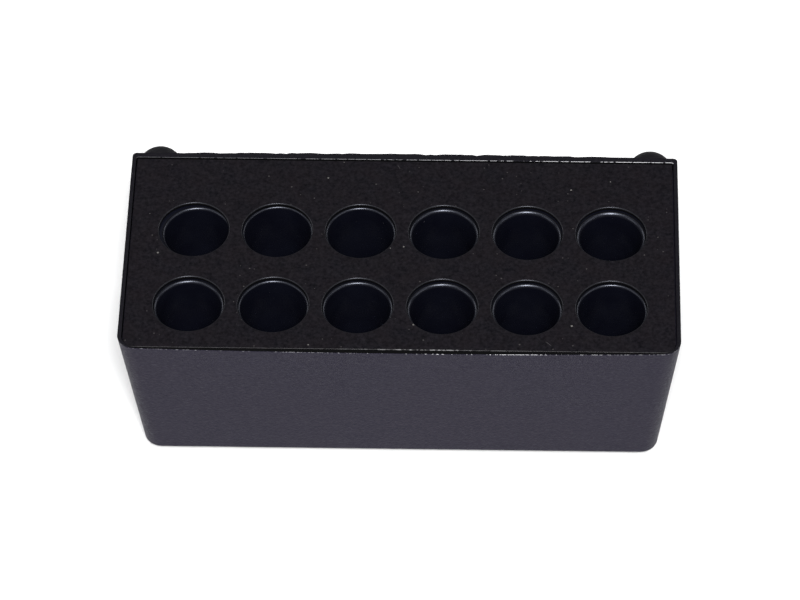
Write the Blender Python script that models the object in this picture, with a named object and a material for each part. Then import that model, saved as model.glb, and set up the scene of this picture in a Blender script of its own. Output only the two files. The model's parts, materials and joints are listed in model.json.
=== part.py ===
"""Twelve-well dry block heater: a tapered moulded tub with a flush perforated deck.

Metres, +Z up. X runs along the two rows of wells, -Y is the front.
The origin is the centre of the overall box, on the surface that the feet stand on.
"""
import math

import bmesh
import bpy

# ---- driving dimensions ------------------------------------------------------------
FIT_GAP = 0.0003            # air left between pieces that touch
ROUND_SIDES = 40            # sides of a well
SMALL_SIDES = 16            # sides of a screw, a bush or a foot
FRONT_CORNER_STEPS = 6
BACK_CORNER_STEPS = 3
BULGE_STEPS = 12            # straight pieces along a long side that bulges
BASE_EDGE_STEPS = 3
WALL_STEPS = 4
SHARP_ANGLE = math.radians(35)

# wells
COLUMNS = 6
ROWS = 2
PITCH_X = 0.01966
PITCH_Y = 0.0229
GRID_Y = -0.0049            # middle of the two rows, seen from the middle of the rim
WELL_R = 0.0076             # holds a 15 mm tube
DECK_HOLE_R = 0.00825
MOUTH_CHAMFER = DECK_HOLE_R - WELL_R
WELL_DEPTH = 0.022          # straight part of a well, below the block's top face
WELL_TIP = 0.003            # drill point below it

# moulded tub
FOOT_T = 0.0018
TUB_BOTTOM = FOOT_T + FIT_GAP
TUB_H = 0.040
TUB_TOP = TUB_BOTTOM + TUB_H
RIM_W = 0.1302
RIM_D = 0.0607
END_DRAFT = 0.00425         # how much narrower the base is at each end
SIDE_DRAFT = 0.0025         # the same at the front and the back
RIM_BOW_FRONT = 0.00065     # the long walls bulge a little at the rim
RIM_BOW_BACK = 0.0005
FRONT_CORNER_R = 0.0041
BACK_CORNER_R = 0.0010
BASE_EDGE_R = 0.0010
RIM_EDGE = 0.0002
FLOOR_T = 0.0020
LIP_ENDS = 0.00095          # visible lip at the short ends
LIP_FRONT = 0.00045         # and along the front, at the corners
LIP_BACK = 0.00085          # and along the back, at the corners
FLOOR_HALF_X = 0.0595
FLOOR_HALF_Y = 0.0264
LEDGE_HALF_X = 0.0617
LEDGE_HALF_Y = 0.0273

# deck plate, with the seal that it lies on
DECK_T = 0.0008
DECK_DROP = 0.0003          # the deck lies this far below the lip
DECK_SLOT = 0.00035         # dark slot between the deck and the lip
SEAL_T = 0.0008
DECK_TOP = TUB_TOP - DECK_DROP
DECK_BOTTOM = DECK_TOP - DECK_T
LEDGE_Z = DECK_BOTTOM - 2 * FIT_GAP - SEAL_T

# heated stack, from the top down
BLOCK_TOP = DECK_BOTTOM - FIT_GAP
BLOCK_H = 0.028
BLOCK_BOTTOM = BLOCK_TOP - BLOCK_H
BLOCK_HALF_X = 0.0590
BLOCK_WALL = 0.0021         # metal outside a well, front and back
BLOCK_FRONT = GRID_Y - PITCH_Y / 2 - WELL_R - BLOCK_WALL
BLOCK_BACK = GRID_Y + PITCH_Y / 2 + WELL_R + BLOCK_WALL
BLOCK_EDGE_R = 0.0010
MAT_T = 0.0008
MAT_INSET = 0.0010
PLATE_T = 0.0015
MAT_TOP = BLOCK_BOTTOM - FIT_GAP
PLATE_TOP = MAT_TOP - MAT_T - FIT_GAP
PAD_TOP = PLATE_TOP - PLATE_T - FIT_GAP
PAD_BOTTOM = TUB_BOTTOM + FLOOR_T + FIT_GAP

# countersunk screws that pull the stack onto the floor of the tub
SCREW_X = 2 * PITCH_X
SCREW_Y = 0.0180            # either side of the grid's middle
SCREW_R = 0.0015
SCREW_LENGTH = 0.0160
SCREW_HEAD_R = 0.0030
SCREW_HEAD_H = 0.0015
SCREW_RECESS = 0.0002       # how far the head lies inside the floor
SOCKET_R = 0.0010
SOCKET_DEPTH = 0.0009
BUSH_R = 0.0035

# rear bay: insulation, cut-out and thermostat under one spring clip
BOARD_T = 0.0020
BOARD_Z = (0.0145, 0.0385)
BOARD_X = (-0.0570, 0.0440)
WINDOW_X = (-0.0260, 0.0305)
WINDOW_Z = (0.0225, 0.0335)
BAY_Z = 0.0280              # height of the thermostat, the cut-out and their clip
THERMOSTAT_X = (0.0075, 0.0275)
THERMOSTAT_H = 0.0077
THERMOSTAT_T = 0.0038
CUTOUT_X = (-0.0215, -0.0085)
CUTOUT_R = 0.0019
CLIP_T = 0.0008
CLIP_H = 0.0060
CLIP_ARM_X = (-0.0190, 0.0220)
CLIP_FOOT_HALF = 0.0042
CLIP_SCREW_R = 0.0015
CLIP_SCREW_DEPTH = 0.0050
PAN_HEAD_R = 0.0028
PAN_HEAD_H = 0.0018

# low-voltage inlet in the right-hand end wall, beside the rear bay
INLET_Y = 0.0214
INLET_Z = 0.0175
INLET_THREAD_R = 0.0040
INLET_BODY_R = 0.0046
INLET_BODY_LENGTH = 0.0110
INLET_STANDS_OUT = 0.0020
INLET_MOUTH_R = 0.0029
INLET_MOUTH_DEPTH = 0.0090
INLET_PIN_R = 0.0010
INLET_NUT_R = 0.0056        # across the corners
INLET_NUT_T = 0.0015

# slide switch in the rear wall
SWITCH_X = -0.0380
SWITCH_Z = 0.0225
SWITCH_TRAVEL = 0.0030
SWITCH_PLATE = (0.0250, 0.0008, 0.0070)
SWITCH_CAN = (0.0140, 0.0046, 0.0066)
SWITCH_KNOB = (0.0040, 0.0036, 0.0038)
SWITCH_SLOT = (0.0076, 0.0044)
SWITCH_PITCH = 0.0190
SWITCH_SCREW_R = 0.0010
SWITCH_HEAD_R = 0.0019
SWITCH_HEAD_H = 0.0013

# pan heads, as shares of the head's height and radius
PAN_SIDE_SHARE = 0.6        # straight side of the head
PAN_CROWN_SHARE = 0.8       # radius of the flat on top
PAN_SOCKET_SHARE = 0.7      # radius of the socket, as a share of the shank's
PAN_FLOOR_SHARE = 0.4       # height of the socket's floor

# rubber
BUMPER_X = 0.0587
BUMPER_BELOW_RIM = 0.0058
BUMPER_R = 0.0056
FOOT_R = 0.0050
FOOT_SOLE_R = 0.0046
FOOT_SOLE_H = 0.00054       # height of the slope round the sole
FOOT_X = 0.0500
FOOT_Y = 0.0175

# leads
LEAD_R = 0.00065
LEAD_STEPS = 3              # straight pieces between two points of a lead's route
LEAD_ROUNDNESS = 2


# ---- values that follow from the driving dimensions -------------------------------------
TIGHT_R = 0.0003
CUT_OVER = 0.0010           # how far a cutter runs past a face
LIP_HALF_X = RIM_W / 2 - LIP_ENDS
LIP_HALF_Y = (RIM_D - LIP_FRONT - LIP_BACK) / 2
LIP_Y = (LIP_FRONT - LIP_BACK) / 2      # middle of the deck, seen from the middle of the rim
LIP_FRONT_R = 0.0035
LIP_BACK_R = 0.0005
INNER_CORNER_R = 0.0010
DECK_HALF_X = LIP_HALF_X - DECK_SLOT
DECK_HALF_Y = LIP_HALF_Y - DECK_SLOT
BLOCK_HALF_Y = (BLOCK_BACK - BLOCK_FRONT) / 2
WELL_TIP_R = 0.0015
SCREW_BASE = TUB_BOTTOM + SCREW_RECESS
SWITCH_BACKOFF = 0.0005     # clears the inner wall, whose draft differs from the outer
SWITCH_SLOT_DEPTH = 0.0018
SWITCH_SCREW_LENGTH = 0.0048
KNOB_TIP = 0.0005
INLET_SIDES = 24
INLET_PIN_SHY = 0.0015      # the pin ends inside the mouth
BUMPER_STEPS = 7
BUMPER_SIDES = 24
ALONG_X = (0, math.radians(90), 0)
ALONG_Y = (-math.radians(90), 0, 0)


# ---- sections of the tub -----------------------------------------------------------
def outer_half(z):
    """Half width and half depth of the outside of the tub at a height."""
    down = (TUB_TOP - z) / TUB_H
    return RIM_W / 2 - END_DRAFT * down, RIM_D / 2 - SIDE_DRAFT * down


def inner_half(z):
    """Half width and half depth of the inside of the tub, from the floor to the ledge."""
    floor = TUB_BOTTOM + FLOOR_T
    up = (z - floor) / (LEDGE_Z - floor)
    half_x = FLOOR_HALF_X + (LEDGE_HALF_X - FLOOR_HALF_X) * up
    half_y = FLOOR_HALF_Y + (LEDGE_HALF_Y - FLOOR_HALF_Y) * up
    return half_x, half_y


def arc(centre_x, centre_y, radius, start, steps):
    """Quarter circle from a start angle in degrees."""
    turns = [math.radians(start + 90 * k / steps) for k in range(steps + 1)]
    return [(centre_x + radius * math.cos(t), centre_y + radius * math.sin(t)) for t in turns]


def long_side(reach, half_y, bow):
    """Points between the ends of the back side, right to left, where the bulge is."""
    points = []
    for k in range(1, BULGE_STEPS):
        along = 1 - 2 * k / BULGE_STEPS
        points.append((reach * along, half_y + bow * (1 - along * along)))
    return points


def outline(half_x, half_y, front_r, back_r, bow_front=0.0, bow_back=0.0):
    """Rounded oblong, counter-clockwise from above, with long sides that may bulge."""
    front_x = half_x - front_r
    back_x = half_x - back_r
    points = arc(front_x, -half_y + front_r, front_r, -90, FRONT_CORNER_STEPS)
    points += arc(back_x, half_y - back_r, back_r, 0, BACK_CORNER_STEPS)
    points += long_side(back_x, half_y, bow_back)
    points += arc(-back_x, half_y - back_r, back_r, 90, BACK_CORNER_STEPS)
    points += arc(-front_x, -half_y + front_r, front_r, 180, FRONT_CORNER_STEPS)
    points += [(-x, -y) for x, y in long_side(front_x, half_y, bow_front)]
    return points


def deck_outline():
    """Outline of the deck and of the seal that it lies on."""
    points = outline(DECK_HALF_X, DECK_HALF_Y, LIP_FRONT_R - DECK_SLOT, TIGHT_R)
    return [(x, y + LIP_Y) for x, y in points]


# ---- making objects ------------------------------------------------------------------
def material(name, colour, roughness, metallic=0.0):
    found = bpy.data.materials.get(name)
    if found:
        return found
    made = bpy.data.materials.new(name)
    made.use_nodes = True
    shader = made.node_tree.nodes["Principled BSDF"]
    shader.inputs["Base Color"].default_value = (*colour, 1.0)
    shader.inputs["Roughness"].default_value = roughness
    shader.inputs["Metallic"].default_value = metallic
    return made


def add_object(name, bm, finish, place=(0, 0, 0), turn=(0, 0, 0), parent=None, smooth=True):
    bmesh.ops.recalc_face_normals(bm, faces=bm.faces)
    mesh = bpy.data.meshes.new(name)
    bm.to_mesh(mesh)
    bm.free()
    if smooth:
        mesh.shade_smooth()
        mesh.set_sharp_from_angle(angle=SHARP_ANGLE)
    made = bpy.data.objects.new(name, mesh)
    bpy.context.collection.objects.link(made)
    made.location = place
    made.rotation_euler = turn
    made.parent = parent or UNIT
    if finish:
        mesh.materials.append(finish)
    return made


def add_empty(name, place, turn=(0, 0, 0), parent=None):
    made = bpy.data.objects.new(name, None)
    bpy.context.collection.objects.link(made)
    made.location = place
    made.rotation_euler = turn
    made.parent = parent
    return made


def stacked(rings):
    """Closed body through rings of equally many points, capped at both ends."""
    bm = bmesh.new()
    rows = [[bm.verts.new(point) for point in ring] for ring in rings]
    count = len(rows[0])
    for low, high in zip(rows, rows[1:]):
        for k in range(count):
            nxt = (k + 1) % count
            bm.faces.new((low[k], low[nxt], high[nxt], high[k]))
    bm.faces.new(list(reversed(rows[0])))
    bm.faces.new(rows[-1])
    return bm


def ring_at(points, z):
    return [(x, y, z) for x, y in points]


def circle(radius, sides, centre=(0.0, 0.0)):
    turns = [2 * math.pi * k / sides for k in range(sides)]
    return [(centre[0] + radius * math.cos(t), centre[1] + radius * math.sin(t)) for t in turns]


def turned(profile, sides, centre=(0.0, 0.0)):
    """Closed body turned round Z from (radius, z) pairs, in order along the outline."""
    return stacked([ring_at(circle(radius, sides, centre), z) for radius, z in profile])


def hexagon(corner_r, sides):
    """Hexagon with extra points along its sides, as many as the circle inside it has."""
    points = []
    for k in range(sides):
        turn = 2 * math.pi * k / sides
        off = math.fmod(turn, math.pi / 3) - math.pi / 6
        radius = corner_r * math.cos(math.pi / 6) / math.cos(off)
        points.append((radius * math.cos(turn), radius * math.sin(turn)))
    return points


def sleeve(outer, inner, low, high):
    """Closed ring along Z between two outlines of equally many points."""
    bm = bmesh.new()
    rings = []
    for points, z in ((outer, low), (outer, high), (inner, high), (inner, low)):
        rings.append([bm.verts.new(point) for point in ring_at(points, z)])
    for k, ring in enumerate(rings):
        after = rings[(k + 1) % len(rings)]
        for j in range(len(outer)):
            nxt = (j + 1) % len(outer)
            bm.faces.new((ring[j], ring[nxt], after[nxt], after[j]))
    return bm


def oblong(low, high):
    """Plain box between two corners."""
    corners = [(low[0], low[1]), (high[0], low[1]), (high[0], high[1]), (low[0], high[1])]
    return stacked([ring_at(corners, low[2]), ring_at(corners, high[2])])


def merged(bodies):
    """Several separate bodies in one mesh, for a cutter."""
    bm = bmesh.new()
    for body in bodies:
        mesh = bpy.data.meshes.new("part_of_cutter")
        body.to_mesh(mesh)
        body.free()
        bm.from_mesh(mesh)
        bpy.data.meshes.remove(mesh)
    return bm


def cut(target, name, bm, place=(0, 0, 0), turn=(0, 0, 0), parent=None):
    """Take a shape out of an object with a Boolean."""
    cutter = add_object(name, bm, None, place, turn, parent)
    cutter.hide_render = True
    cutter.display_type = "WIRE"
    boolean = target.modifiers.new(name, "BOOLEAN")
    boolean.operation = "DIFFERENCE"
    boolean.solver = "EXACT"
    boolean.object = cutter


# ---- places that repeat ----------------------------------------------------------------
def well_centres():
    """Middles of the wells, seen from the middle of the grid."""
    across = [(k - (COLUMNS - 1) / 2) * PITCH_X for k in range(COLUMNS)]
    along = [(k - (ROWS - 1) / 2) * PITCH_Y for k in range(ROWS)]
    return [(x, y) for y in along for x in across]


def screw_centres():
    return [(x, y) for y in (-SCREW_Y, SCREW_Y) for x in (-SCREW_X, SCREW_X)]


def posts(centres, radius, low, high, sides=SMALL_SIDES):
    """Straight pins at the given centres, for cutting holes."""
    return merged([turned([(radius, low), (radius, high)], sides, c) for c in centres])


# ---- tub and deck ----------------------------------------------------------------------
def tub_section(z, inset=0.0):
    half_x, half_y = outer_half(z)
    up = max(0.0, (z - TUB_BOTTOM) / TUB_H)
    bulge = up * up
    points = outline(half_x - inset, half_y - inset, FRONT_CORNER_R - inset,
                     max(BACK_CORNER_R - inset, TIGHT_R), RIM_BOW_FRONT * bulge,
                     RIM_BOW_BACK * bulge)
    return ring_at(points, z)


def make_tub():
    rings = []
    for k in range(BASE_EDGE_STEPS + 1):
        swing = math.radians(90 * k / BASE_EDGE_STEPS)
        inset = BASE_EDGE_R * (1 - math.sin(swing))
        rings.append(tub_section(TUB_BOTTOM + BASE_EDGE_R * (1 - math.cos(swing)), inset))
    for k in range(1, WALL_STEPS):
        rings.append(tub_section(TUB_BOTTOM + TUB_H * k / WALL_STEPS))
    rings.append(tub_section(TUB_TOP - RIM_EDGE))
    rings.append(tub_section(TUB_TOP, RIM_EDGE))
    lip = [(x, y + LIP_Y) for x, y in outline(LIP_HALF_X, LIP_HALF_Y, LIP_FRONT_R, LIP_BACK_R)]
    rings.append(ring_at(lip, TUB_TOP))
    rings.append(ring_at(lip, LEDGE_Z))
    ledge = outline(LEDGE_HALF_X, LEDGE_HALF_Y, INNER_CORNER_R, INNER_CORNER_R)
    rings.append(ring_at(ledge, LEDGE_Z))
    floor = outline(FLOOR_HALF_X, FLOOR_HALF_Y, INNER_CORNER_R, INNER_CORNER_R)
    rings.append(ring_at(floor, TUB_BOTTOM + FLOOR_T))
    tub = add_object("housing_tub", stacked(rings), PLASTIC)

    head_r = SCREW_HEAD_R + FIT_GAP
    shank_r = SCREW_R + FIT_GAP
    profile = [
        (head_r, TUB_BOTTOM - CUT_OVER),
        (head_r, SCREW_BASE),
        (shank_r, SCREW_BASE + SCREW_HEAD_H),
        (shank_r, TUB_BOTTOM + FLOOR_T + CUT_OVER),
    ]
    sinks = merged([turned(profile, SMALL_SIDES, centre) for centre in screw_centres()])
    cut(tub, "cut_screw_seats", sinks, place=(0, GRID_Y, 0))
    return tub


def make_deck():
    points = deck_outline()
    deck = add_object(
        "deck_plate", stacked([ring_at(points, DECK_BOTTOM), ring_at(points, DECK_TOP)]), DECK_BLACK)
    holes = posts(well_centres(), DECK_HOLE_R, DECK_BOTTOM - CUT_OVER, DECK_TOP + CUT_OVER,
                  ROUND_SIDES)
    cut(deck, "cut_deck_holes", holes, place=(0, GRID_Y, 0))


def make_seal():
    outer = deck_outline()
    inner = outline(LEDGE_HALF_X + FIT_GAP, LEDGE_HALF_Y + FIT_GAP, INNER_CORNER_R, TIGHT_R)
    low = LEDGE_Z + FIT_GAP
    add_object("deck_seal", sleeve(outer, inner, low, low + SEAL_T), RUBBER)


# ---- heated stack ----------------------------------------------------------------------
def stack_slab(name, low, high, inset, hole_r, finish):
    """One layer under the block, with its four clearance holes."""
    points = outline(BLOCK_HALF_X - inset, BLOCK_HALF_Y - inset, BLOCK_EDGE_R, BLOCK_EDGE_R)
    slab = add_object(name, stacked([ring_at(points, low), ring_at(points, high)]), finish,
                      place=(0, GRID_Y, 0))
    holes = posts(screw_centres(), hole_r, low - CUT_OVER, high + CUT_OVER)
    cut(slab, "cut_" + name, holes, place=(0, GRID_Y, 0))


def make_block():
    points = outline(BLOCK_HALF_X, BLOCK_HALF_Y, BLOCK_EDGE_R, BLOCK_EDGE_R)
    block = add_object(
        "heating_block", stacked([ring_at(points, BLOCK_BOTTOM), ring_at(points, BLOCK_TOP)]),
        ANODISED, place=(0, GRID_Y, 0))
    foot_of_well = BLOCK_TOP - WELL_DEPTH
    profile = [
        (WELL_TIP_R, foot_of_well - WELL_TIP),
        (WELL_R, foot_of_well),
        (WELL_R, BLOCK_TOP - MOUTH_CHAMFER),
        (DECK_HOLE_R, BLOCK_TOP),
        (DECK_HOLE_R, BLOCK_TOP + CUT_OVER),
    ]
    wells = merged([turned(profile, ROUND_SIDES, centre) for centre in well_centres()])
    cut(block, "cut_wells", wells, place=(0, GRID_Y, 0))
    tapped = posts(screw_centres(), SCREW_R + FIT_GAP, BLOCK_BOTTOM - CUT_OVER,
                   SCREW_BASE + SCREW_LENGTH + FIT_GAP)
    cut(block, "cut_tapped_holes", tapped, place=(0, GRID_Y, 0))
    rear = turned([(CLIP_SCREW_R + FIT_GAP, -CLIP_SCREW_DEPTH - FIT_GAP),
                   (CLIP_SCREW_R + FIT_GAP, CUT_OVER)], SMALL_SIDES)
    cut(block, "cut_clip_hole", rear, place=(0, BLOCK_BACK, BAY_Z), turn=ALONG_Y)


def make_screw(name, place, turn, parent, radius, length, head_r, head_h, finish):
    """Pan-head screw: the head stands on z = 0 and the shank goes down."""
    profile = [
        (radius - FIT_GAP, -length),
        (radius, -length + FIT_GAP),
        (radius, 0),
        (head_r, 0),
        (head_r, head_h * PAN_SIDE_SHARE),
        (head_r * PAN_CROWN_SHARE, head_h),
        (radius * PAN_SOCKET_SHARE, head_h),
        (radius * PAN_SOCKET_SHARE, head_h * PAN_FLOOR_SHARE),
    ]
    add_object(name, turned(profile, SMALL_SIDES), finish, place, turn, parent)


def make_stack_fasteners():
    for k, (x, y) in enumerate(screw_centres(), start=1):
        profile = [
            (SOCKET_R, SOCKET_DEPTH),
            (SOCKET_R, 0),
            (SCREW_HEAD_R, 0),
            (SCREW_R, SCREW_HEAD_H),
            (SCREW_R, SCREW_LENGTH - FIT_GAP),
            (SCREW_R - FIT_GAP, SCREW_LENGTH),
        ]
        add_object("block_screw_%d" % k, turned(profile, SMALL_SIDES), STEEL,
                   place=(x, GRID_Y + y, SCREW_BASE))
        bush = sleeve(circle(BUSH_R, SMALL_SIDES), circle(SCREW_R + FIT_GAP, SMALL_SIDES),
                      PAD_BOTTOM, PAD_TOP)
        add_object("spacer_bush_%d" % k, bush, CERAMIC, place=(x, GRID_Y + y, 0))


# ---- rear bay --------------------------------------------------------------------------
def make_rear_board():
    front = BLOCK_BACK + FIT_GAP
    back = front + BOARD_T
    board = add_object("rear_insulation",
                       oblong((BOARD_X[0], front, BOARD_Z[0]), (BOARD_X[1], back, BOARD_Z[1])), FOAM)
    window = oblong((WINDOW_X[0], front - CUT_OVER, WINDOW_Z[0]),
                    (WINDOW_X[1], back + CUT_OVER, WINDOW_Z[1]))
    cut(board, "cut_board_window", window)


def make_thermostat():
    near = BLOCK_BACK + FIT_GAP
    low = BAY_Z - THERMOSTAT_H / 2
    add_object("thermostat",
               oblong((THERMOSTAT_X[0], near, low),
                      (THERMOSTAT_X[1], near + THERMOSTAT_T, low + THERMOSTAT_H)), DARK_CASE)


def make_cutout():
    nose = CUTOUT_R / 2
    length = CUTOUT_X[1] - CUTOUT_X[0]
    profile = [(nose, 0), (CUTOUT_R, nose), (CUTOUT_R, length - nose), (nose, length)]
    add_object("thermal_cutout", turned(profile, SMALL_SIDES), TIN,
               place=(CUTOUT_X[0], BLOCK_BACK + FIT_GAP + CUTOUT_R, BAY_Z), turn=ALONG_X)


def make_clip():
    """Spring strip: a foot on the block, and an arm over each of the two devices."""
    foot = BLOCK_BACK + FIT_GAP
    arm = foot + THERMOSTAT_T + FIT_GAP
    inner = CLIP_FOOT_HALF
    outer = CLIP_FOOT_HALF + CLIP_T
    left, right = CLIP_ARM_X
    points = [
        (left, arm), (-outer, arm), (-outer, foot), (outer, foot), (outer, arm), (right, arm),
        (right, arm + CLIP_T), (inner, arm + CLIP_T), (inner, foot + CLIP_T),
        (-inner, foot + CLIP_T), (-inner, arm + CLIP_T), (left, arm + CLIP_T),
    ]
    rings = [ring_at(points, BAY_Z - CLIP_H / 2), ring_at(points, BAY_Z + CLIP_H / 2)]
    clip = add_object("device_clip", stacked(rings), STEEL)
    hole = turned([(CLIP_SCREW_R + FIT_GAP, -CUT_OVER), (CLIP_SCREW_R + FIT_GAP, CUT_OVER)],
                  SMALL_SIDES)
    cut(clip, "cut_clip_foot", hole, place=(0, foot, BAY_Z), turn=ALONG_Y)
    seat = foot + CLIP_T + FIT_GAP
    make_screw("clip_screw", (0, seat, BAY_Z), ALONG_Y, None, CLIP_SCREW_R,
               seat - BLOCK_BACK + CLIP_SCREW_DEPTH - FIT_GAP, PAN_HEAD_R, PAN_HEAD_H, STEEL)


# ---- inlet and switch ------------------------------------------------------------------
def make_inlet(tub):
    """Panel inlet. Its station has +X square out of the drafted end wall."""
    half_x = outer_half(INLET_Z)[0]
    draft = math.atan(END_DRAFT / TUB_H)
    station = add_empty("inlet_station", (half_x, INLET_Y, INLET_Z), (0, draft, 0), UNIT)
    wall = half_x - inner_half(INLET_Z)[0] + 2 * FIT_GAP
    face = -wall
    profile = [
        (INLET_BODY_R, face - INLET_BODY_LENGTH),
        (INLET_BODY_R, face),
        (INLET_THREAD_R, face),
        (INLET_THREAD_R, INLET_STANDS_OUT),
        (INLET_MOUTH_R, INLET_STANDS_OUT),
        (INLET_MOUTH_R, INLET_STANDS_OUT - INLET_MOUTH_DEPTH),
    ]
    add_object("inlet_body", turned(profile, INLET_SIDES), DARK_CASE, turn=ALONG_X, parent=station)
    pin_base = INLET_STANDS_OUT - INLET_MOUTH_DEPTH + FIT_GAP
    pin_end = INLET_STANDS_OUT - INLET_PIN_SHY
    pin = [(INLET_PIN_R, pin_base), (INLET_PIN_R, pin_end - INLET_PIN_R / 2),
           (INLET_PIN_R / 2, pin_end)]
    add_object("inlet_pin", turned(pin, SMALL_SIDES), BRASS, turn=ALONG_X, parent=station)
    nut = sleeve(hexagon(INLET_NUT_R, INLET_SIDES), circle(INLET_THREAD_R + FIT_GAP, INLET_SIDES),
                 FIT_GAP, FIT_GAP + INLET_NUT_T)
    add_object("inlet_nut", nut, STEEL, turn=ALONG_X, parent=station, smooth=False)
    hole = turned([(INLET_THREAD_R + FIT_GAP, -2 * wall), (INLET_THREAD_R + FIT_GAP, wall)],
                  INLET_SIDES)
    cut(tub, "cut_inlet_hole", hole, turn=ALONG_X, parent=station)


def make_switch(tub):
    """Slide switch. Its station has +Y square out of the drafted rear wall."""
    half_y = outer_half(SWITCH_Z)[1]
    draft = math.atan(SIDE_DRAFT / TUB_H)
    station = add_empty("switch_station", (SWITCH_X, half_y, SWITCH_Z), (-draft, 0, 0), UNIT)
    wall = half_y - inner_half(SWITCH_Z)[1]
    plate_x, plate_t, plate_z = SWITCH_PLATE
    can_x, can_depth, can_z = SWITCH_CAN
    knob_x, knob_out, knob_z = SWITCH_KNOB
    front = -wall - SWITCH_BACKOFF
    back = front - plate_t
    can = [(-can_x / 2, -can_z / 2), (can_x / 2, -can_z / 2),
           (can_x / 2, can_z / 2), (-can_x / 2, can_z / 2)]
    plate = [(x * plate_x / can_x, y * plate_z / can_z) for x, y in can]
    rings = [ring_at(can, back - can_depth), ring_at(can, back), ring_at(plate, back),
             ring_at(plate, front)]
    body = add_object("switch_body", stacked(rings), TIN, turn=ALONG_Y, parent=station)

    slot_x, slot_z = SWITCH_SLOT
    slot_base = back - SWITCH_SLOT_DEPTH
    for target, low, high in ((body, slot_base, front + CUT_OVER), (tub, -2 * wall, wall)):
        slot = oblong((-slot_x / 2, low, -slot_z / 2), (slot_x / 2, high, slot_z / 2))
        cut(target, "cut_slot_" + target.name, slot, parent=station)
        holes = posts([(-SWITCH_PITCH / 2, 0), (SWITCH_PITCH / 2, 0)], SWITCH_SCREW_R + FIT_GAP,
                      low, high)
        cut(target, "cut_ears_" + target.name, holes, turn=ALONG_Y, parent=station)

    knob_base = slot_base + FIT_GAP
    tip = KNOB_TIP
    rings = []
    for y, inset in ((knob_base, 0.0), (knob_out - tip, 0.0), (knob_out, tip)):
        x = knob_x / 2 - inset
        z = knob_z / 2 - inset
        rings.append([(-x, y, -z), (x, y, -z), (x, y, z), (-x, y, z)])
    add_object("switch_knob", stacked(rings), KNOB_GREY, place=(-SWITCH_TRAVEL / 2, 0, 0),
               parent=station)
    for k, side in enumerate((-1, 1), start=1):
        make_screw("switch_screw_%d" % k, (side * SWITCH_PITCH / 2, FIT_GAP, 0), ALONG_Y, station,
                   SWITCH_SCREW_R, SWITCH_SCREW_LENGTH, SWITCH_HEAD_R, SWITCH_HEAD_H, STEEL)


# ---- rubber ----------------------------------------------------------------------------
def make_bumpers():
    """Hemispherical bumpers, square on the drafted rear wall."""
    z = TUB_TOP - BUMPER_BELOW_RIM
    half_y = outer_half(z)[1]
    profile = []
    for k in range(BUMPER_STEPS):
        swing = math.radians(90 * k / BUMPER_STEPS)
        profile.append((BUMPER_R * math.cos(swing), FIT_GAP + BUMPER_R * math.sin(swing)))
    turn = (-math.radians(90) - math.atan(SIDE_DRAFT / TUB_H), 0, 0)
    for name, x in (("rear_bumper_left", -BUMPER_X), ("rear_bumper_right", BUMPER_X)):
        add_object(name, turned(profile, BUMPER_SIDES), RUBBER, (x, half_y, z), turn)


def make_feet():
    profile = [(FOOT_SOLE_R, 0), (FOOT_R, FOOT_SOLE_H), (FOOT_R, FOOT_T)]
    corners = [(x, y) for y in (-FOOT_Y, FOOT_Y) for x in (-FOOT_X, FOOT_X)]
    for k, (x, y) in enumerate(corners, start=1):
        add_object("foot_%d" % k, turned(profile, SMALL_SIDES), RUBBER, place=(x, y, 0))


# ---- leads -----------------------------------------------------------------------------
def smooth_route(points):
    """Catmull-Rom curve through a lead's points."""
    padded = [points[0]] + list(points) + [points[-1]]
    route = []
    for k in range(len(points) - 1):
        before, here, there, after = padded[k:k + 4]
        for step in range(LEAD_STEPS):
            t = step / LEAD_STEPS
            route.append([0.5 * (2 * b + (c - a) * t + (2 * a - 5 * b + 4 * c - d) * t ** 2
                                 + (3 * b - a - 3 * c + d) * t ** 3)
                          for a, b, c, d in zip(before, here, there, after)])
    route.append(points[-1])
    return route


def make_lead(name, points, finish):
    curve = bpy.data.curves.new(name, "CURVE")
    curve.dimensions = "3D"
    curve.bevel_depth = LEAD_R
    curve.bevel_resolution = LEAD_ROUNDNESS
    curve.use_fill_caps = True
    route = smooth_route(points)
    spline = curve.splines.new("POLY")
    spline.points.add(len(route) - 1)
    for point, (x, y, z) in zip(spline.points, route):
        point.co = (x, y, z, 1.0)
    curve.materials.append(finish)
    made = bpy.data.objects.new(name, curve)
    bpy.context.collection.objects.link(made)
    made.parent = UNIT


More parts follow.
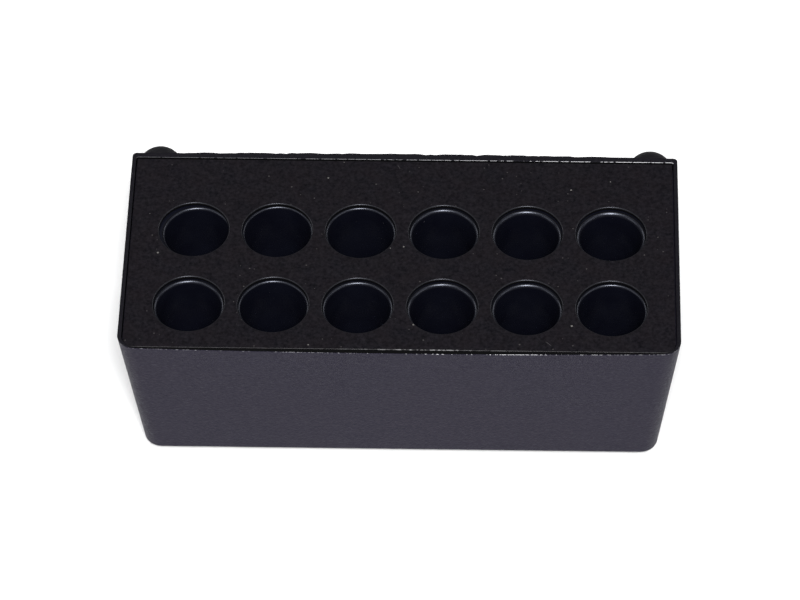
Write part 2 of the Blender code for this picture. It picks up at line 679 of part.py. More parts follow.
def make_leads():
    """Routes through the rear bay, from the middle of the rim. Ends stand clear of terminals."""
    make_lead("lead_inlet_to_switch", [
        (0.0480, 0.0214, 0.0209), (0.0455, 0.0218, 0.0214), (0.0420, 0.0232, 0.0250),
        (0.0370, 0.0240, 0.0305), (0.0260, 0.0242, 0.0350), (0.0, 0.0243, 0.0360),
        (-0.0180, 0.0242, 0.0345), (-0.0250, 0.0238, 0.0290), (-0.0280, 0.0235, 0.0250),
        (-0.0304, 0.0234, 0.0240),
    ], RED)
    make_lead("lead_switch_to_cutout", [
        (-0.0304, 0.0226, 0.0205), (-0.0286, 0.0224, 0.0210), (-0.0266, 0.0213, 0.0240),
        (-0.0246, 0.0196, 0.0268), (-0.0232, 0.0187, 0.0278), (-0.0219, 0.01845, 0.0280),
    ], RED)
    make_lead("lead_cutout_to_thermostat", [
        (-0.0081, 0.01845, 0.0280), (-0.0071, 0.0186, 0.0289), (-0.0066, 0.0190, 0.0312),
        (-0.0040, 0.0202, 0.0338), (0.0100, 0.0203, 0.0345), (0.0240, 0.0203, 0.0340),
        (0.0297, 0.0198, 0.0322), (0.0295, 0.0188, 0.0301), (0.0279, 0.01845, 0.0296),
    ], RED)
    make_lead("lead_thermostat_to_heater", [
        (0.0279, 0.01845, 0.0263), (0.0290, 0.0187, 0.0259), (0.0306, 0.0202, 0.0235),
        (0.0322, 0.0213, 0.0190), (0.0329, 0.0207, 0.0145), (0.0330, 0.0185, 0.0121),
        (0.0330, 0.0156, 0.0119),
    ], RED)
    make_lead("lead_heater_to_inlet", [
        (0.0365, 0.0156, 0.0119), (0.0366, 0.0185, 0.0120), (0.0380, 0.0209, 0.0130),
        (0.0420, 0.0216, 0.0155), (0.0455, 0.0214, 0.0168), (0.0480, 0.0214, 0.0171),
    ], BLACK_WIRE)


for old in list(bpy.data.objects):
    bpy.data.objects.remove(old, do_unlink=True)

PLASTIC = material("tub_plastic", (0.052, 0.049, 0.066), 0.55)
DECK_BLACK = material("deck_black", (0.012, 0.011, 0.014), 0.45)
ANODISED = material("black_anodised", (0.004, 0.005, 0.010), 0.30, 0.8)
RUBBER = material("black_rubber", (0.018, 0.017, 0.020), 0.75)
STEEL = material("zinc_steel", (0.55, 0.55, 0.56), 0.35, 1.0)
ALUMINIUM = material("mill_aluminium", (0.70, 0.70, 0.71), 0.40, 1.0)
SILICONE = material("heater_silicone", (0.42, 0.10, 0.05), 0.65)
FOAM = material("insulation_felt", (0.62, 0.60, 0.55), 0.95)
CERAMIC = material("steatite", (0.78, 0.76, 0.70), 0.50)
DARK_CASE = material("black_case", (0.020, 0.020, 0.022), 0.40)
TIN = material("tinned_steel", (0.60, 0.60, 0.58), 0.30, 1.0)
BRASS = material("brass", (0.72, 0.52, 0.22), 0.30, 1.0)
KNOB_GREY = material("knob_plastic", (0.030, 0.030, 0.034), 0.45)
RED = material("red_lead", (0.45, 0.03, 0.02), 0.45)
BLACK_WIRE = material("black_lead", (0.015, 0.015, 0.016), 0.45)

FRONT_REACH = RIM_D / 2 + RIM_BOW_FRONT
BUMPER_WALL_Y = outer_half(TUB_TOP - BUMPER_BELOW_RIM)[1]
REAR_REACH = BUMPER_WALL_Y + (BUMPER_R + FIT_GAP) * math.cos(math.atan(SIDE_DRAFT / TUB_H))
UNIT = add_empty("unit", (0, (FRONT_REACH - REAR_REACH) / 2, 0))

TUB = make_tub()
make_deck()
make_seal()
make_block()
stack_slab("heater_mat", MAT_TOP - MAT_T, MAT_TOP, MAT_INSET, SCREW_R + 2 * FIT_GAP, SILICONE)
stack_slab("clamp_plate", PLATE_TOP - PLATE_T, PLATE_TOP, MAT_INSET, SCREW_R + FIT_GAP, ALUMINIUM)
stack_slab("base_insulation", PAD_BOTTOM, PAD_TOP, MAT_INSET, BUSH_R + FIT_GAP, FOAM)
make_stack_fasteners()
make_rear_board()
make_thermostat()
make_cutout()
make_clip()
make_inlet(TUB)
make_switch(TUB)
make_bumpers()
make_feet()
make_leads()
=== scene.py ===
"""Looks of the dry block heater, built round its fixed frame. Metres, +Z up, front towards -Y."""
import json
import math

import bmesh
import bpy
from mathutils import Matrix, Vector, noise


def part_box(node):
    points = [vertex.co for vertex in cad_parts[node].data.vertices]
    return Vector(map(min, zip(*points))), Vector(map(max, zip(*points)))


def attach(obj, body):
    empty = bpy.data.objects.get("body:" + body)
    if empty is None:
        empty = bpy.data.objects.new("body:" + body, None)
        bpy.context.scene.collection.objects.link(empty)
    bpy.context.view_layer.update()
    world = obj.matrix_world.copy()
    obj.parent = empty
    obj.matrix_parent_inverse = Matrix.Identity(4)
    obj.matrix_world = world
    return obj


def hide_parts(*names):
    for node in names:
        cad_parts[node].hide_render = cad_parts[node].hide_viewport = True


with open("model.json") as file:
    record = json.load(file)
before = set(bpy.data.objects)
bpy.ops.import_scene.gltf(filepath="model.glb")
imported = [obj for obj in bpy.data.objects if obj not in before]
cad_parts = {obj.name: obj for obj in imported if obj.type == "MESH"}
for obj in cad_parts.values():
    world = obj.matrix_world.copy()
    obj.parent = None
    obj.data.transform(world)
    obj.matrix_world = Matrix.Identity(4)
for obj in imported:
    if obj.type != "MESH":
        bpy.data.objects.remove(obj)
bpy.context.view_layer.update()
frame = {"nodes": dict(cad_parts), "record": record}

# ---- sizes shared with the frame ---------------------------------------------------------
MM = 0.001
tub_low, tub_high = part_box("housing_tub")
deck_low, deck_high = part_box("deck_plate")
block_low, block_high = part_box("heating_block")
HOUSING, SWITCH = "housing", "power_switch"

COLUMNS, ROWS = 6, 2
PITCH_X, PITCH_Y = 19.66 * MM, 22.9 * MM
GRID_Y = (block_low.y + block_high.y) / 2
DECK_HOLE_R, HOLE_ROUNDING = 8.25 * MM, 0.28 * MM
WELL_DEPTH, DRILL_POINT = 22 * MM, 3 * MM
CUT_SLACK = 0.004 * MM          # how far a cutter's flare stands clear of the face it cuts
RIM_W, RIM_D = 130.2 * MM, 60.7 * MM
RIM_BOW_FRONT, RIM_BOW_BACK = 0.65 * MM, 0.5 * MM
END_DRAFT, SIDE_DRAFT = 4.25 * MM, 2.5 * MM
FRONT_CORNER_R, BACK_CORNER_R = 4.1 * MM, 1.0 * MM
RIM_ROUNDING, BASE_ROUNDING = 0.20 * MM, 1.0 * MM
LIP_ENDS, LIP_FRONT, LIP_BACK = 0.95 * MM, 0.45 * MM, 1.40 * MM
LEDGE_STEP = 0.1 * MM
DECK_SLOT = 0.35 * MM           # gap between the deck and the lip
DECK_FRONT_R, DECK_BACK_R = 2.65 * MM, 0.3 * MM
DECK_FRONT_ROUNDING, DECK_ROUNDING = 0.17 * MM, 0.13 * MM
TUB_Y = (tub_low.y + RIM_BOW_FRONT + tub_high.y - RIM_BOW_BACK) / 2
TUB_H = tub_high.z - tub_low.z
LEDGE_Z = tub_high.z - 2.5 * MM
FLOOR_Z = tub_low.z + 2 * MM
LEDGE_HALF = (61.7 * MM, 27.3 * MM)
FLOOR_HALF = (59.5 * MM, 26.4 * MM)
WALL = 2.0 * MM
BOWED_HALF, SLICED_HALF = RIM_W / 2 - 5 * MM, RIM_W / 2 - 6 * MM
TUB_SLICES, DECK_SLICES = 96, 24
FRONT_EDGE_Y = TUB_Y - 27 * MM  # the front edges of the deck and the lip lie before this
END_TURN, SIDE_TURN = math.atan(END_DRAFT / TUB_H), math.atan(SIDE_DRAFT / TUB_H)
WELLS = [((c - (COLUMNS - 1) / 2) * PITCH_X, GRID_Y + (r - (ROWS - 1) / 2) * PITCH_Y)
         for r in range(ROWS) for c in range(COLUMNS)]


# ---- working by hand: primitives, edit mode, modifiers -----------------------------------
FACING = 0.9                    # a face looks up when its normal has more of Z than this
SHARP = 35                      # degrees; an edge that turns more than this is sharp
FLARE_STEPS, FLARE_SIDES = 5, 96


def clear_selection():
    if bpy.context.object and bpy.context.object.mode != "OBJECT":
        bpy.ops.object.mode_set(mode="OBJECT")
    bpy.ops.object.select_all(action="DESELECT")


def only(piece):
    """Make a piece the selected and active one."""
    clear_selection()
    piece.select_set(True)
    bpy.context.view_layer.objects.active = piece
    return piece


def named(name):
    piece = bpy.context.object
    piece.name = name
    piece.data.name = name
    bpy.ops.object.transform_apply(location=True, rotation=True, scale=True)
    return piece


def box_piece(name, low, high):
    clear_selection()
    low, high = Vector(low), Vector(high)
    bpy.ops.mesh.primitive_cube_add(size=1, location=(low + high) / 2)
    bpy.context.object.scale = high - low
    return named(name)


def round_piece(name, radius, low, high, centre=(0, 0), sides=64):
    clear_selection()
    place = (centre[0], centre[1], (low + high) / 2)
    bpy.ops.mesh.primitive_cylinder_add(vertices=sides, radius=radius, depth=high - low,
                                        location=place)
    return named(name)


def flared_cutter(name, radius, rounding, low, top, centre):
    """Round cutter that flares out at the top, to leave the edge of its hole rounded."""
    cutter = round_piece(name, radius, low, top - rounding, centre, FLARE_SIDES)
    now, height = radius, 0.0
    edit(cutter)
    for k in range(1, FLARE_STEPS + 1):
        turn = math.radians(90 * k / FLARE_STEPS)
        wider = radius + rounding * (1 - math.cos(turn))
        higher = rounding * math.sin(turn)
        pick_top(cutter)
        extrude(z=higher - height)
        resize(wider / now, wider / now, 1, (*centre, 0))
        now, height = wider, higher
    pick_top(cutter)
    extrude(z=MM)
    done()
    return cutter


def edit(piece):
    only(piece)
    bpy.ops.object.mode_set(mode="EDIT")
    bpy.ops.mesh.select_mode(type="VERT")
    bpy.ops.mesh.select_all(action="DESELECT")


def done():
    bpy.ops.object.mode_set(mode="OBJECT")


def pick(piece, kind, test):
    """In edit mode, select the verts, edges or faces that pass a test, and nothing else."""
    bpy.ops.mesh.select_mode(type={"verts": "VERT", "edges": "EDGE", "faces": "FACE"}[kind])
    bpy.ops.mesh.select_all(action="DESELECT")
    bm = bmesh.from_edit_mesh(piece.data)
    for item in getattr(bm, kind):
        if test(item):
            item.select_set(True)
    bm.select_flush_mode()
    bmesh.update_edit_mesh(piece.data)


def pick_top(piece):
    pick(piece, "faces", lambda f: f.normal.z > FACING)


def pick_bottom(piece, corners=0):
    """The faces that look down, where they have more corners than this."""
    pick(piece, "faces", lambda f: f.normal.z < -FACING and len(f.verts) > corners)


def middle(edge):
    return (edge.verts[0].co + edge.verts[1].co) / 2


def level(edge, z, slack=0.02 * MM):
    return all(abs(v.co.z - z) < slack for v in edge.verts)


def upright(edge):
    run = edge.verts[1].co - edge.verts[0].co
    return abs(run.z) > FACING * run.length


def inset(width):
    bpy.ops.mesh.inset(thickness=width, use_even_offset=True)


def extrude(z):
    bpy.ops.mesh.extrude_region_move(TRANSFORM_OT_translate={"value": (0.0, 0.0, z)})


def resize(x, y, z, centre):
    bpy.ops.transform.resize(value=(x, y, z), center_override=centre)


def bevel(width, segments):
    bpy.ops.mesh.bevel(offset=width, segments=segments, affect="EDGES", clamp_overlap=True)


def apply_all(piece):
    only(piece)
    for modifier in list(piece.modifiers):
        bpy.ops.object.modifier_apply(modifier=modifier.name)


def discard(piece):
    bpy.data.objects.remove(piece, do_unlink=True)


def combine(piece, other, operation):
    """Take another shape out of a piece, or keep only what lies inside it, and discard it."""
    boolean = piece.modifiers.new("combine", "BOOLEAN")
    boolean.operation = operation
    boolean.solver = "EXACT"
    boolean.object = other
    apply_all(piece)
    discard(other)


def carve(piece, cutters):
    for cutter in cutters:
        combine(piece, cutter, "DIFFERENCE")


def soften(piece, width, segments=2):
    """Round off every sharp edge."""
    rounding = piece.modifiers.new("soften", "BEVEL")
    rounding.width = width
    rounding.segments = segments
    rounding.limit_method = "ANGLE"
    rounding.angle_limit = math.radians(SHARP)
    rounding.harden_normals = False
    apply_all(piece)


def mark_edges(piece, wear_glint_of):
    """Note on each face how much it wears and how much painted highlight it takes, from 0 to 1."""
    marks = piece.data.attributes.new("worn_and_glinting_edge", "FLOAT", "FACE")
    for face in piece.data.polygons:
        marks.data[face.index].value = wear_glint_of(face)


def smooth(piece, angle=SHARP):
    """Smooth shading, with edges that turn more than an angle, in degrees, left sharp."""
    only(piece)
    bpy.ops.object.shade_smooth_by_angle(angle=math.radians(angle))
    weighted = piece.modifiers.new("flat_faces_first", "WEIGHTED_NORMAL")
    weighted.keep_sharp = True
    apply_all(piece)
    clear_selection()


def copy_of(piece, name):
    made = piece.copy()
    made.data = piece.data.copy()
    made.name = name
    made.data.name = name
    bpy.context.collection.objects.link(made)
    return made


def settle(piece, matrix):
    """Put a finished shape in its place, in its mesh."""
    piece.data.transform(matrix)
    piece.data.update()


def fit(piece, finish, slot, body, *nodes):
    """Give a piece its finish, put it on the body it rides on, and hide the frame's parts that it
    stands for.
    """
    piece.data.materials.clear()
    piece.data.materials.append(finish)
    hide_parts(*nodes)
    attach(piece, body)


# ---- node groups shared by the finishes --------------------------------------------------
def new_group(name, inputs, outputs):
    group = bpy.data.node_groups.new(name, "ShaderNodeTree")
    for label, value in inputs:
        socket = group.interface.new_socket(label, in_out="INPUT", socket_type="NodeSocketFloat")
        socket.default_value = value
    for label in outputs:
        group.interface.new_socket(label, in_out="OUTPUT", socket_type="NodeSocketFloat")
    nodes, links = group.nodes, group.links
    return group, nodes, links, nodes.new("NodeGroupInput"), nodes.new("NodeGroupOutput")


def maths(nodes, links, operation, first, second=None, clamp=False):
    node = nodes.new("ShaderNodeMath")
    node.operation = operation
    node.use_clamp = clamp
    for k, value in enumerate((first, second)):
        if value is None:
            continue
        if isinstance(value, (int, float)):
            node.inputs[k].default_value = value
        else:
            links.new(value, node.inputs[k])
    return node.outputs[0]


def make_grain_group():
    """Fine moulded grain: a height from two noises, one four times finer than the other."""
    finer, fine_share = 4.0, 0.35
    group, nodes, links, source, sink = new_group("moulded_grain", [("Grains per metre", 2500.0)],
                                                  ["Height"])
    place = nodes.new("ShaderNodeTexCoord")
    coarse = nodes.new("ShaderNodeTexNoise")
    coarse.inputs["Detail"].default_value = 2.0
    fine = nodes.new("ShaderNodeTexNoise")
    fine.inputs["Detail"].default_value = 1.0
    links.new(place.outputs["Object"], coarse.inputs["Vector"])
    links.new(place.outputs["Object"], fine.inputs["Vector"])
    links.new(source.outputs[0], coarse.inputs["Scale"])
    links.new(maths(nodes, links, "MULTIPLY", source.outputs[0], finer), fine.inputs["Scale"])
    fine_part = maths(nodes, links, "MULTIPLY", fine.outputs["Fac"], fine_share)
    links.new(maths(nodes, links, "ADD", coarse.outputs["Fac"], fine_part), sink.inputs[0])
    return group


def make_speck_group():
    """Scattered specks of dust: one in some cells, each of its own size."""
    crispness = 40.0
    group, nodes, links, source, sink = new_group(
        "dust_specks", [("Cells per metre", 300.0), ("Share", 0.1), ("Size", 0.08)], ["Mask"])
    place = nodes.new("ShaderNodeTexCoord")
    cells = nodes.new("ShaderNodeTexVoronoi")
    cells.feature = "F1"
    cells.inputs["Randomness"].default_value = 1.0
    links.new(place.outputs["Object"], cells.inputs["Vector"])
    links.new(source.outputs["Cells per metre"], cells.inputs["Scale"])
    luck = nodes.new("ShaderNodeSeparateColor")
    links.new(cells.outputs["Color"], luck.inputs["Color"])
    chosen = maths(nodes, links, "LESS_THAN", luck.outputs["Red"], source.outputs["Share"])
    radius = maths(nodes, links, "MULTIPLY", luck.outputs["Green"], source.outputs["Size"])
    edge = maths(nodes, links, "SUBTRACT", radius, cells.outputs["Distance"])
    crisp = maths(nodes, links, "MULTIPLY", edge, crispness, clamp=True)
    links.new(maths(nodes, links, "MULTIPLY", crisp, chosen), sink.inputs[0])
    return group


def make_scratch_group():
    """Sparse hairlines: stretched cells, thin where two of them meet, broken up by a noise."""
    squeeze, half_width, wander_scale = 0.12, 0.006, 90.0
    group, nodes, links, source, sink = new_group(
        "hairlines", [("Lines per metre", 60.0), ("Turn", 0.5), ("Share", 0.35)], ["Mask"])
    place = nodes.new("ShaderNodeTexCoord")
    turn = nodes.new("ShaderNodeVectorRotate")
    turn.rotation_type = "Z_AXIS"
    links.new(place.outputs["Object"], turn.inputs["Vector"])
    links.new(source.outputs["Turn"], turn.inputs["Angle"])
    stretch = nodes.new("ShaderNodeMapping")
    stretch.inputs["Scale"].default_value = (squeeze, 1.0, 1.0)
    links.new(turn.outputs[0], stretch.inputs["Vector"])
    wander = nodes.new("ShaderNodeTexNoise")
    wander.inputs["Scale"].default_value = wander_scale
    links.new(place.outputs["Object"], wander.inputs["Vector"])
    lines = nodes.new("ShaderNodeTexVoronoi")
    lines.voronoi_dimensions = "2D"
    lines.feature = "DISTANCE_TO_EDGE"
    links.new(stretch.outputs[0], lines.inputs["Vector"])
    links.new(source.outputs["Lines per metre"], lines.inputs["Scale"])
    thin = maths(nodes, links, "LESS_THAN", lines.outputs["Distance"], half_width)
    patch = maths(nodes, links, "LESS_THAN", wander.outputs["Fac"], source.outputs["Share"])
    links.new(maths(nodes, links, "MULTIPLY", thin, patch), sink.inputs[0])
    return group


def make_mottle_group():
    """Cloudy unevenness, from 0 to 1, centred on a half."""
    group, nodes, links, source, sink = new_group("mottle", [("Patches per metre", 60.0)],
                                                  ["Value"])
    place = nodes.new("ShaderNodeTexCoord")
    cloud = nodes.new("ShaderNodeTexNoise")
    cloud.inputs["Detail"].default_value = 6.0
    cloud.inputs["Roughness"].default_value = 0.62
    links.new(place.outputs["Object"], cloud.inputs["Vector"])
    links.new(source.outputs[0], cloud.inputs["Scale"])
    spread = nodes.new("ShaderNodeMapRange")
    spread.inputs["From Min"].default_value = 0.3
    spread.inputs["From Max"].default_value = 0.7
    links.new(cloud.outputs["Fac"], spread.inputs["Value"])
    links.new(spread.outputs[0], sink.inputs[0])
    return group


def make_wear_and_glint_group():
    """Nicked edges with painted highlights: the faces marked as edges, broken up by a fine noise,
    in patches.
    """
    patch_scale, patch_share, full_cover = 55.0, 0.55, 1.4
    group, nodes, links, source, sink = new_group(
        "edge_wear_and_glint", [("Nicks per metre", 900.0), ("Cover", 0.5), ("Softness", 12.0)], ["Mask"])
    place = nodes.new("ShaderNodeTexCoord")
    marked = nodes.new("ShaderNodeAttribute")
    marked.attribute_name = "worn_and_glinting_edge"
    nicks_and_glints = nodes.new("ShaderNodeTexNoise")
    nicks_and_glints.inputs["Detail"].default_value = 3.0
    links.new(place.outputs["Object"], nicks_and_glints.inputs["Vector"])
    links.new(source.outputs["Nicks per metre"], nicks_and_glints.inputs["Scale"])
    patches = nodes.new("ShaderNodeTexNoise")
    patches.inputs["Scale"].default_value = patch_scale
    links.new(place.outputs["Object"], patches.inputs["Vector"])
    both = maths(nodes, links, "ADD", nicks_and_glints.outputs["Fac"],
                 maths(nodes, links, "MULTIPLY", patches.outputs["Fac"], patch_share))
    limit = maths(nodes, links, "SUBTRACT", full_cover, source.outputs["Cover"])
    over = maths(nodes, links, "SUBTRACT", both, limit)
    broken = maths(nodes, links, "MULTIPLY", over, source.outputs["Softness"], clamp=True)
    links.new(maths(nodes, links, "MULTIPLY", broken, marked.outputs["Fac"]), sink.inputs[0])
    return group


GRAIN = make_grain_group()
SPECKS = make_speck_group()
HAIRLINES = make_scratch_group()
MOTTLE = make_mottle_group()
WEAR_AND_GLINT = make_wear_and_glint_group()


# ---- finishes ----------------------------------------------------------------------------
class Finish:
    """One material: a Principled shader, with what the groups give wired into it."""

    def __init__(self, name, colour, roughness, metallic=0.0, specular=0.5):
        self.material = bpy.data.materials.new(name)
        self.material.use_nodes = True
        self.nodes = self.material.node_tree.nodes
        self.links = self.material.node_tree.links
        self.shader = self.nodes["Principled BSDF"]
        self.shader.inputs["Base Color"].default_value = (*colour, 1.0)
        self.shader.inputs["Roughness"].default_value = roughness
        self.shader.inputs["Metallic"].default_value = metallic
        self.shader.inputs["Specular IOR Level"].default_value = specular
        self.colour = (*colour, 1.0)

    def group(self, tree, **values):
        node = self.nodes.new("ShaderNodeGroup")
        node.node_tree = tree
        for label, value in values.items():
            node.inputs[label.replace("_", " ")].default_value = value
        return node.outputs[0]

    def tone(self, mask, dark, light):
        """Base colour between two colours by a mask."""
        mix = self.nodes.new("ShaderNodeMix")
        mix.data_type = "RGBA"
        mix.inputs["A"].default_value = (*dark, 1.0)
        mix.inputs["B"].default_value = (*light, 1.0)
        self.links.new(mask, mix.inputs["Factor"])
        self.colour_from(mix.outputs["Result"])

    def over(self, mask, colour, strength=1.0):
        """Lay another colour over what there is, where a mask is."""
        mix = self.nodes.new("ShaderNodeMix")
        mix.data_type = "RGBA"
        socket = self.shader.inputs["Base Color"]
        if socket.is_linked:
            self.links.new(socket.links[0].from_socket, mix.inputs["A"])
        else:
            mix.inputs["A"].default_value = self.colour
        mix.inputs["B"].default_value = (*colour, 1.0)
        if strength != 1.0:
            mask = maths(self.nodes, self.links, "MULTIPLY", mask, strength)
        self.links.new(mask, mix.inputs["Factor"])
        self.colour_from(mix.outputs["Result"])

    def colour_from(self, socket):
        self.links.new(socket, self.shader.inputs["Base Color"])

    def rough(self, mask, low, high):
        spread = self.nodes.new("ShaderNodeMapRange")
        spread.inputs["To Min"].default_value = low
        spread.inputs["To Max"].default_value = high
        self.links.new(mask, spread.inputs["Value"])
        self.links.new(spread.outputs[0], self.shader.inputs["Roughness"])

    def polish(self, mask, roughness):
        """Another roughness where a mask is."""
        mix = self.nodes.new("ShaderNodeMix")
        socket = self.shader.inputs["Roughness"]
        self.links.new(socket.links[0].from_socket, mix.inputs["A"])
        mix.inputs["B"].default_value = roughness
        self.links.new(mask, mix.inputs["Factor"])
        self.links.new(mix.outputs["Result"], socket)

    def bump(self, height, depth, strength=1.0):
        node = self.nodes.new("ShaderNodeBump")
        node.inputs["Strength"].default_value = strength
        node.inputs["Distance"].default_value = depth
        self.links.new(height, node.inputs["Height"])
        normal = self.shader.inputs["Normal"]
        if normal.is_linked:
            self.links.new(normal.links[0].from_socket, node.inputs["Normal"])
        self.links.new(node.outputs["Normal"], normal)


GLINT_AND_WEAR_ROUGHNESS = 0.22           # of the marked edges, worn and painted bright as highlights


def tub_plastic(name, dark, light, patch, tint, nicks_and_glints, cover):
    """Moulded black plastic: fine mottle, wide patches, dust, grain, and nicked edges lightened
    partly as wear and partly as painted highlight.
    """
    finish = Finish(name, dark, 0.50, specular=0.15)
    finish.shader.inputs["Specular Tint"].default_value = (*tint, 1.0)
    finish.tone(finish.group(MOTTLE, Patches_per_metre=1500.0), dark, light)
    finish.over(finish.group(MOTTLE, Patches_per_metre=35.0), patch, 0.35)
    finish.over(finish.group(SPECKS, Cells_per_metre=420.0, Share=0.10, Size=0.10),
                (0.050, 0.050, 0.055))
    glint_and_wear = finish.group(WEAR_AND_GLINT, Nicks_per_metre=nicks_and_glints, Cover=cover, Softness=20.0)
    # Light colour on the marked edges: partly wear, partly a painted highlight where they face the
    # key light.
    finish.over(glint_and_wear, (0.62, 0.62, 0.64))
    finish.rough(finish.group(MOTTLE, Patches_per_metre=1100.0), 0.40, 0.60)
    finish.polish(glint_and_wear, GLINT_AND_WEAR_ROUGHNESS)
    finish.bump(finish.group(GRAIN, Grains_per_metre=1700.0), 0.12 * MM, 0.9)
    return finish.material


def deck_black():
    finish = Finish("deck_black", (0.0055, 0.0052, 0.0062), 0.42, specular=0.2)
    finish.tone(finish.group(MOTTLE, Patches_per_metre=1300.0), (0.0005, 0.0007, 0.0018),
                (0.0102, 0.0090, 0.0120))
    finish.over(finish.group(MOTTLE, Patches_per_metre=170.0), (0.0088, 0.0058, 0.0066), 0.35)
    finish.over(finish.group(HAIRLINES, Lines_per_metre=150.0, Turn=0.9, Share=0.27),
                (0.060, 0.058, 0.060), 0.6)
    finish.over(finish.group(SPECKS, Cells_per_metre=330.0, Share=0.30, Size=0.10),
                (0.120, 0.115, 0.110))
    finish.over(finish.group(SPECKS, Cells_per_metre=900.0, Share=0.20, Size=0.20),
                (0.040, 0.037, 0.038))
    glint_and_wear = finish.group(WEAR_AND_GLINT, Nicks_per_metre=900.0, Cover=0.68, Softness=10.0)
    # Light colour on the front edge: partly wear, partly a painted highlight where it faces the
    # key light.
    finish.over(glint_and_wear, (0.75, 0.75, 0.77))
    finish.rough(finish.group(MOTTLE, Patches_per_metre=500.0), 0.34, 0.50)
    finish.polish(glint_and_wear, GLINT_AND_WEAR_ROUGHNESS)
    finish.bump(finish.group(GRAIN, Grains_per_metre=1200.0), 0.06 * MM, 0.6)
    return finish.material


def black_anodised():
    finish = Finish("black_anodised", (0.0030, 0.0033, 0.0075), 0.24, specular=0.5)
    finish.tone(finish.group(MOTTLE, Patches_per_metre=150.0), (0.0027, 0.0029, 0.0062),
                (0.0042, 0.0047, 0.0090))
    finish.over(finish.group(SPECKS, Cells_per_metre=400.0, Share=0.12, Size=0.08),
                (0.05, 0.05, 0.06))
    finish.rough(finish.group(MOTTLE, Patches_per_metre=500.0), 0.17, 0.29)
    finish.bump(finish.group(GRAIN, Grains_per_metre=1500.0), 0.02 * MM, 0.3)
    return finish.material


def black_rubber():
    finish = Finish("black_rubber", (0.0045, 0.0043, 0.0055), 0.75, specular=0.2)
    finish.tone(finish.group(MOTTLE, Patches_per_metre=260.0), (0.0024, 0.0021, 0.0036),
                (0.0052, 0.0046, 0.0072))
    finish.over(finish.group(SPECKS, Cells_per_metre=700.0, Share=0.10, Size=0.12),
                (0.07, 0.07, 0.07))
    finish.bump(finish.group(GRAIN, Grains_per_metre=3000.0), 0.05 * MM, 0.6)
    return finish.material


def plated_metal(name, colour, roughness):
    finish = Finish(name, colour, roughness, metallic=1.0)
    dull = [0.82 * part for part in colour]
    finish.tone(finish.group(MOTTLE, Patches_per_metre=300.0), dull, colour)
    finish.rough(finish.group(MOTTLE, Patches_per_metre=900.0), roughness - 0.06, roughness + 0.12)
    finish.bump(finish.group(GRAIN, Grains_per_metre=2500.0), 0.01 * MM, 0.3)
    return finish.material


def plain_finish(name, dark, light, roughness, patches, grains, depth=0.03 * MM, specular=0.5,
                 tint=(1.0, 1.0, 1.0)):
    """Mottled, grained finish."""
    finish = Finish(name, dark, roughness, specular=specular)
    finish.shader.inputs["Specular Tint"].default_value = (*tint, 1.0)
    finish.tone(finish.group(MOTTLE, Patches_per_metre=patches), dark, light)
    finish.bump(finish.group(GRAIN, Grains_per_metre=grains), depth, 0.6)
    return finish.material


# ---- places --------------------------------------------------------------------------------
INLET_Y, INLET_Z = 21.4 * MM + TUB_Y, 17.5 * MM
SWITCH_X, SWITCH_Z = -38.0 * MM, 22.5 * MM
SWITCH_PITCH = 19.0 * MM
SCREWS = [(x, GRID_Y + y) for y in (-18 * MM, 18 * MM) for x in (-2 * PITCH_X, 2 * PITCH_X)]

THROUGH = 2 * WALL              # how far a cutter reaches in, to come through a wall
INLET_HOLE_R, EAR_HOLE_R, SCREW_HOLE_R = 4.3 * MM, 1.3 * MM, 1.8 * MM
SWITCH_SLOT_X, SWITCH_SLOT_Y = 3.8 * MM, 2.2 * MM
SEAT_R, SEAT_DEPTH = 3.3 * MM, 1.7 * MM


# ---- tub -----------------------------------------------------------------------------------
def tub_body():
    """Solid tapered body with rounded corners, before it is hollowed."""
    low = (-RIM_W / 2, TUB_Y - RIM_D / 2, tub_low.z)
    high = (RIM_W / 2, TUB_Y + RIM_D / 2, tub_high.z)
    tub = box_piece("tub_shell", low, high)
    edit(tub)
    pick(tub, "verts", lambda v: v.co.z < tub_low.z + MM)
    resize(1 - 2 * END_DRAFT / RIM_W, 1 - 2 * SIDE_DRAFT / RIM_D, 1, (0, TUB_Y, tub_low.z))
    pick(tub, "edges", lambda e: upright(e) and middle(e).y < TUB_Y)
    bevel(FRONT_CORNER_R, segments=10)
    pick(tub, "edges", lambda e: upright(e) and middle(e).y > TUB_Y + RIM_D / 4)
    bevel(BACK_CORNER_R, segments=4)
    pick(tub, "edges", lambda e: level(e, tub_low.z))
    bevel(BASE_ROUNDING, segments=4)
    return tub


def shrink(now, after):
    """Resize the selection from one rectangle to another: (half x, front y, back y)."""
    middle_now, middle_after = (now[1] + now[2]) / 2, (after[1] + after[2]) / 2
    resize(after[0] / now[0], (after[2] - after[1]) / (now[2] - now[1]), 1, (0, middle_now, 0))
    bpy.ops.transform.translate(value=(0, middle_after - middle_now, 0))


def hollow_out(tub):
    """Lip, slot for the deck, ledge and cavity, all from the top face."""
    front, back = TUB_Y - RIM_D / 2, TUB_Y + RIM_D / 2
    pick_top(tub)
    inset(LIP_FRONT)
    lip = (RIM_W / 2 - LIP_ENDS, front + LIP_FRONT, back - LIP_BACK)
    shrink((RIM_W / 2 - LIP_FRONT, front + LIP_FRONT, back - LIP_FRONT), lip)
    extrude(z=LEDGE_Z - tub_high.z)
    inset(LEDGE_STEP)
    ledge = (LEDGE_HALF[0], TUB_Y - LEDGE_HALF[1], TUB_Y + LEDGE_HALF[1])
    shrink((lip[0] - LEDGE_STEP, lip[1] + LEDGE_STEP, lip[2] - LEDGE_STEP), ledge)
    extrude(z=FLOOR_Z - LEDGE_Z)
    shrink(ledge, (FLOOR_HALF[0], TUB_Y - FLOOR_HALF[1], TUB_Y + FLOOR_HALF[1]))
    pick(tub, "edges", lambda e: level(e, tub_high.z))
    bevel(RIM_ROUNDING, segments=3)


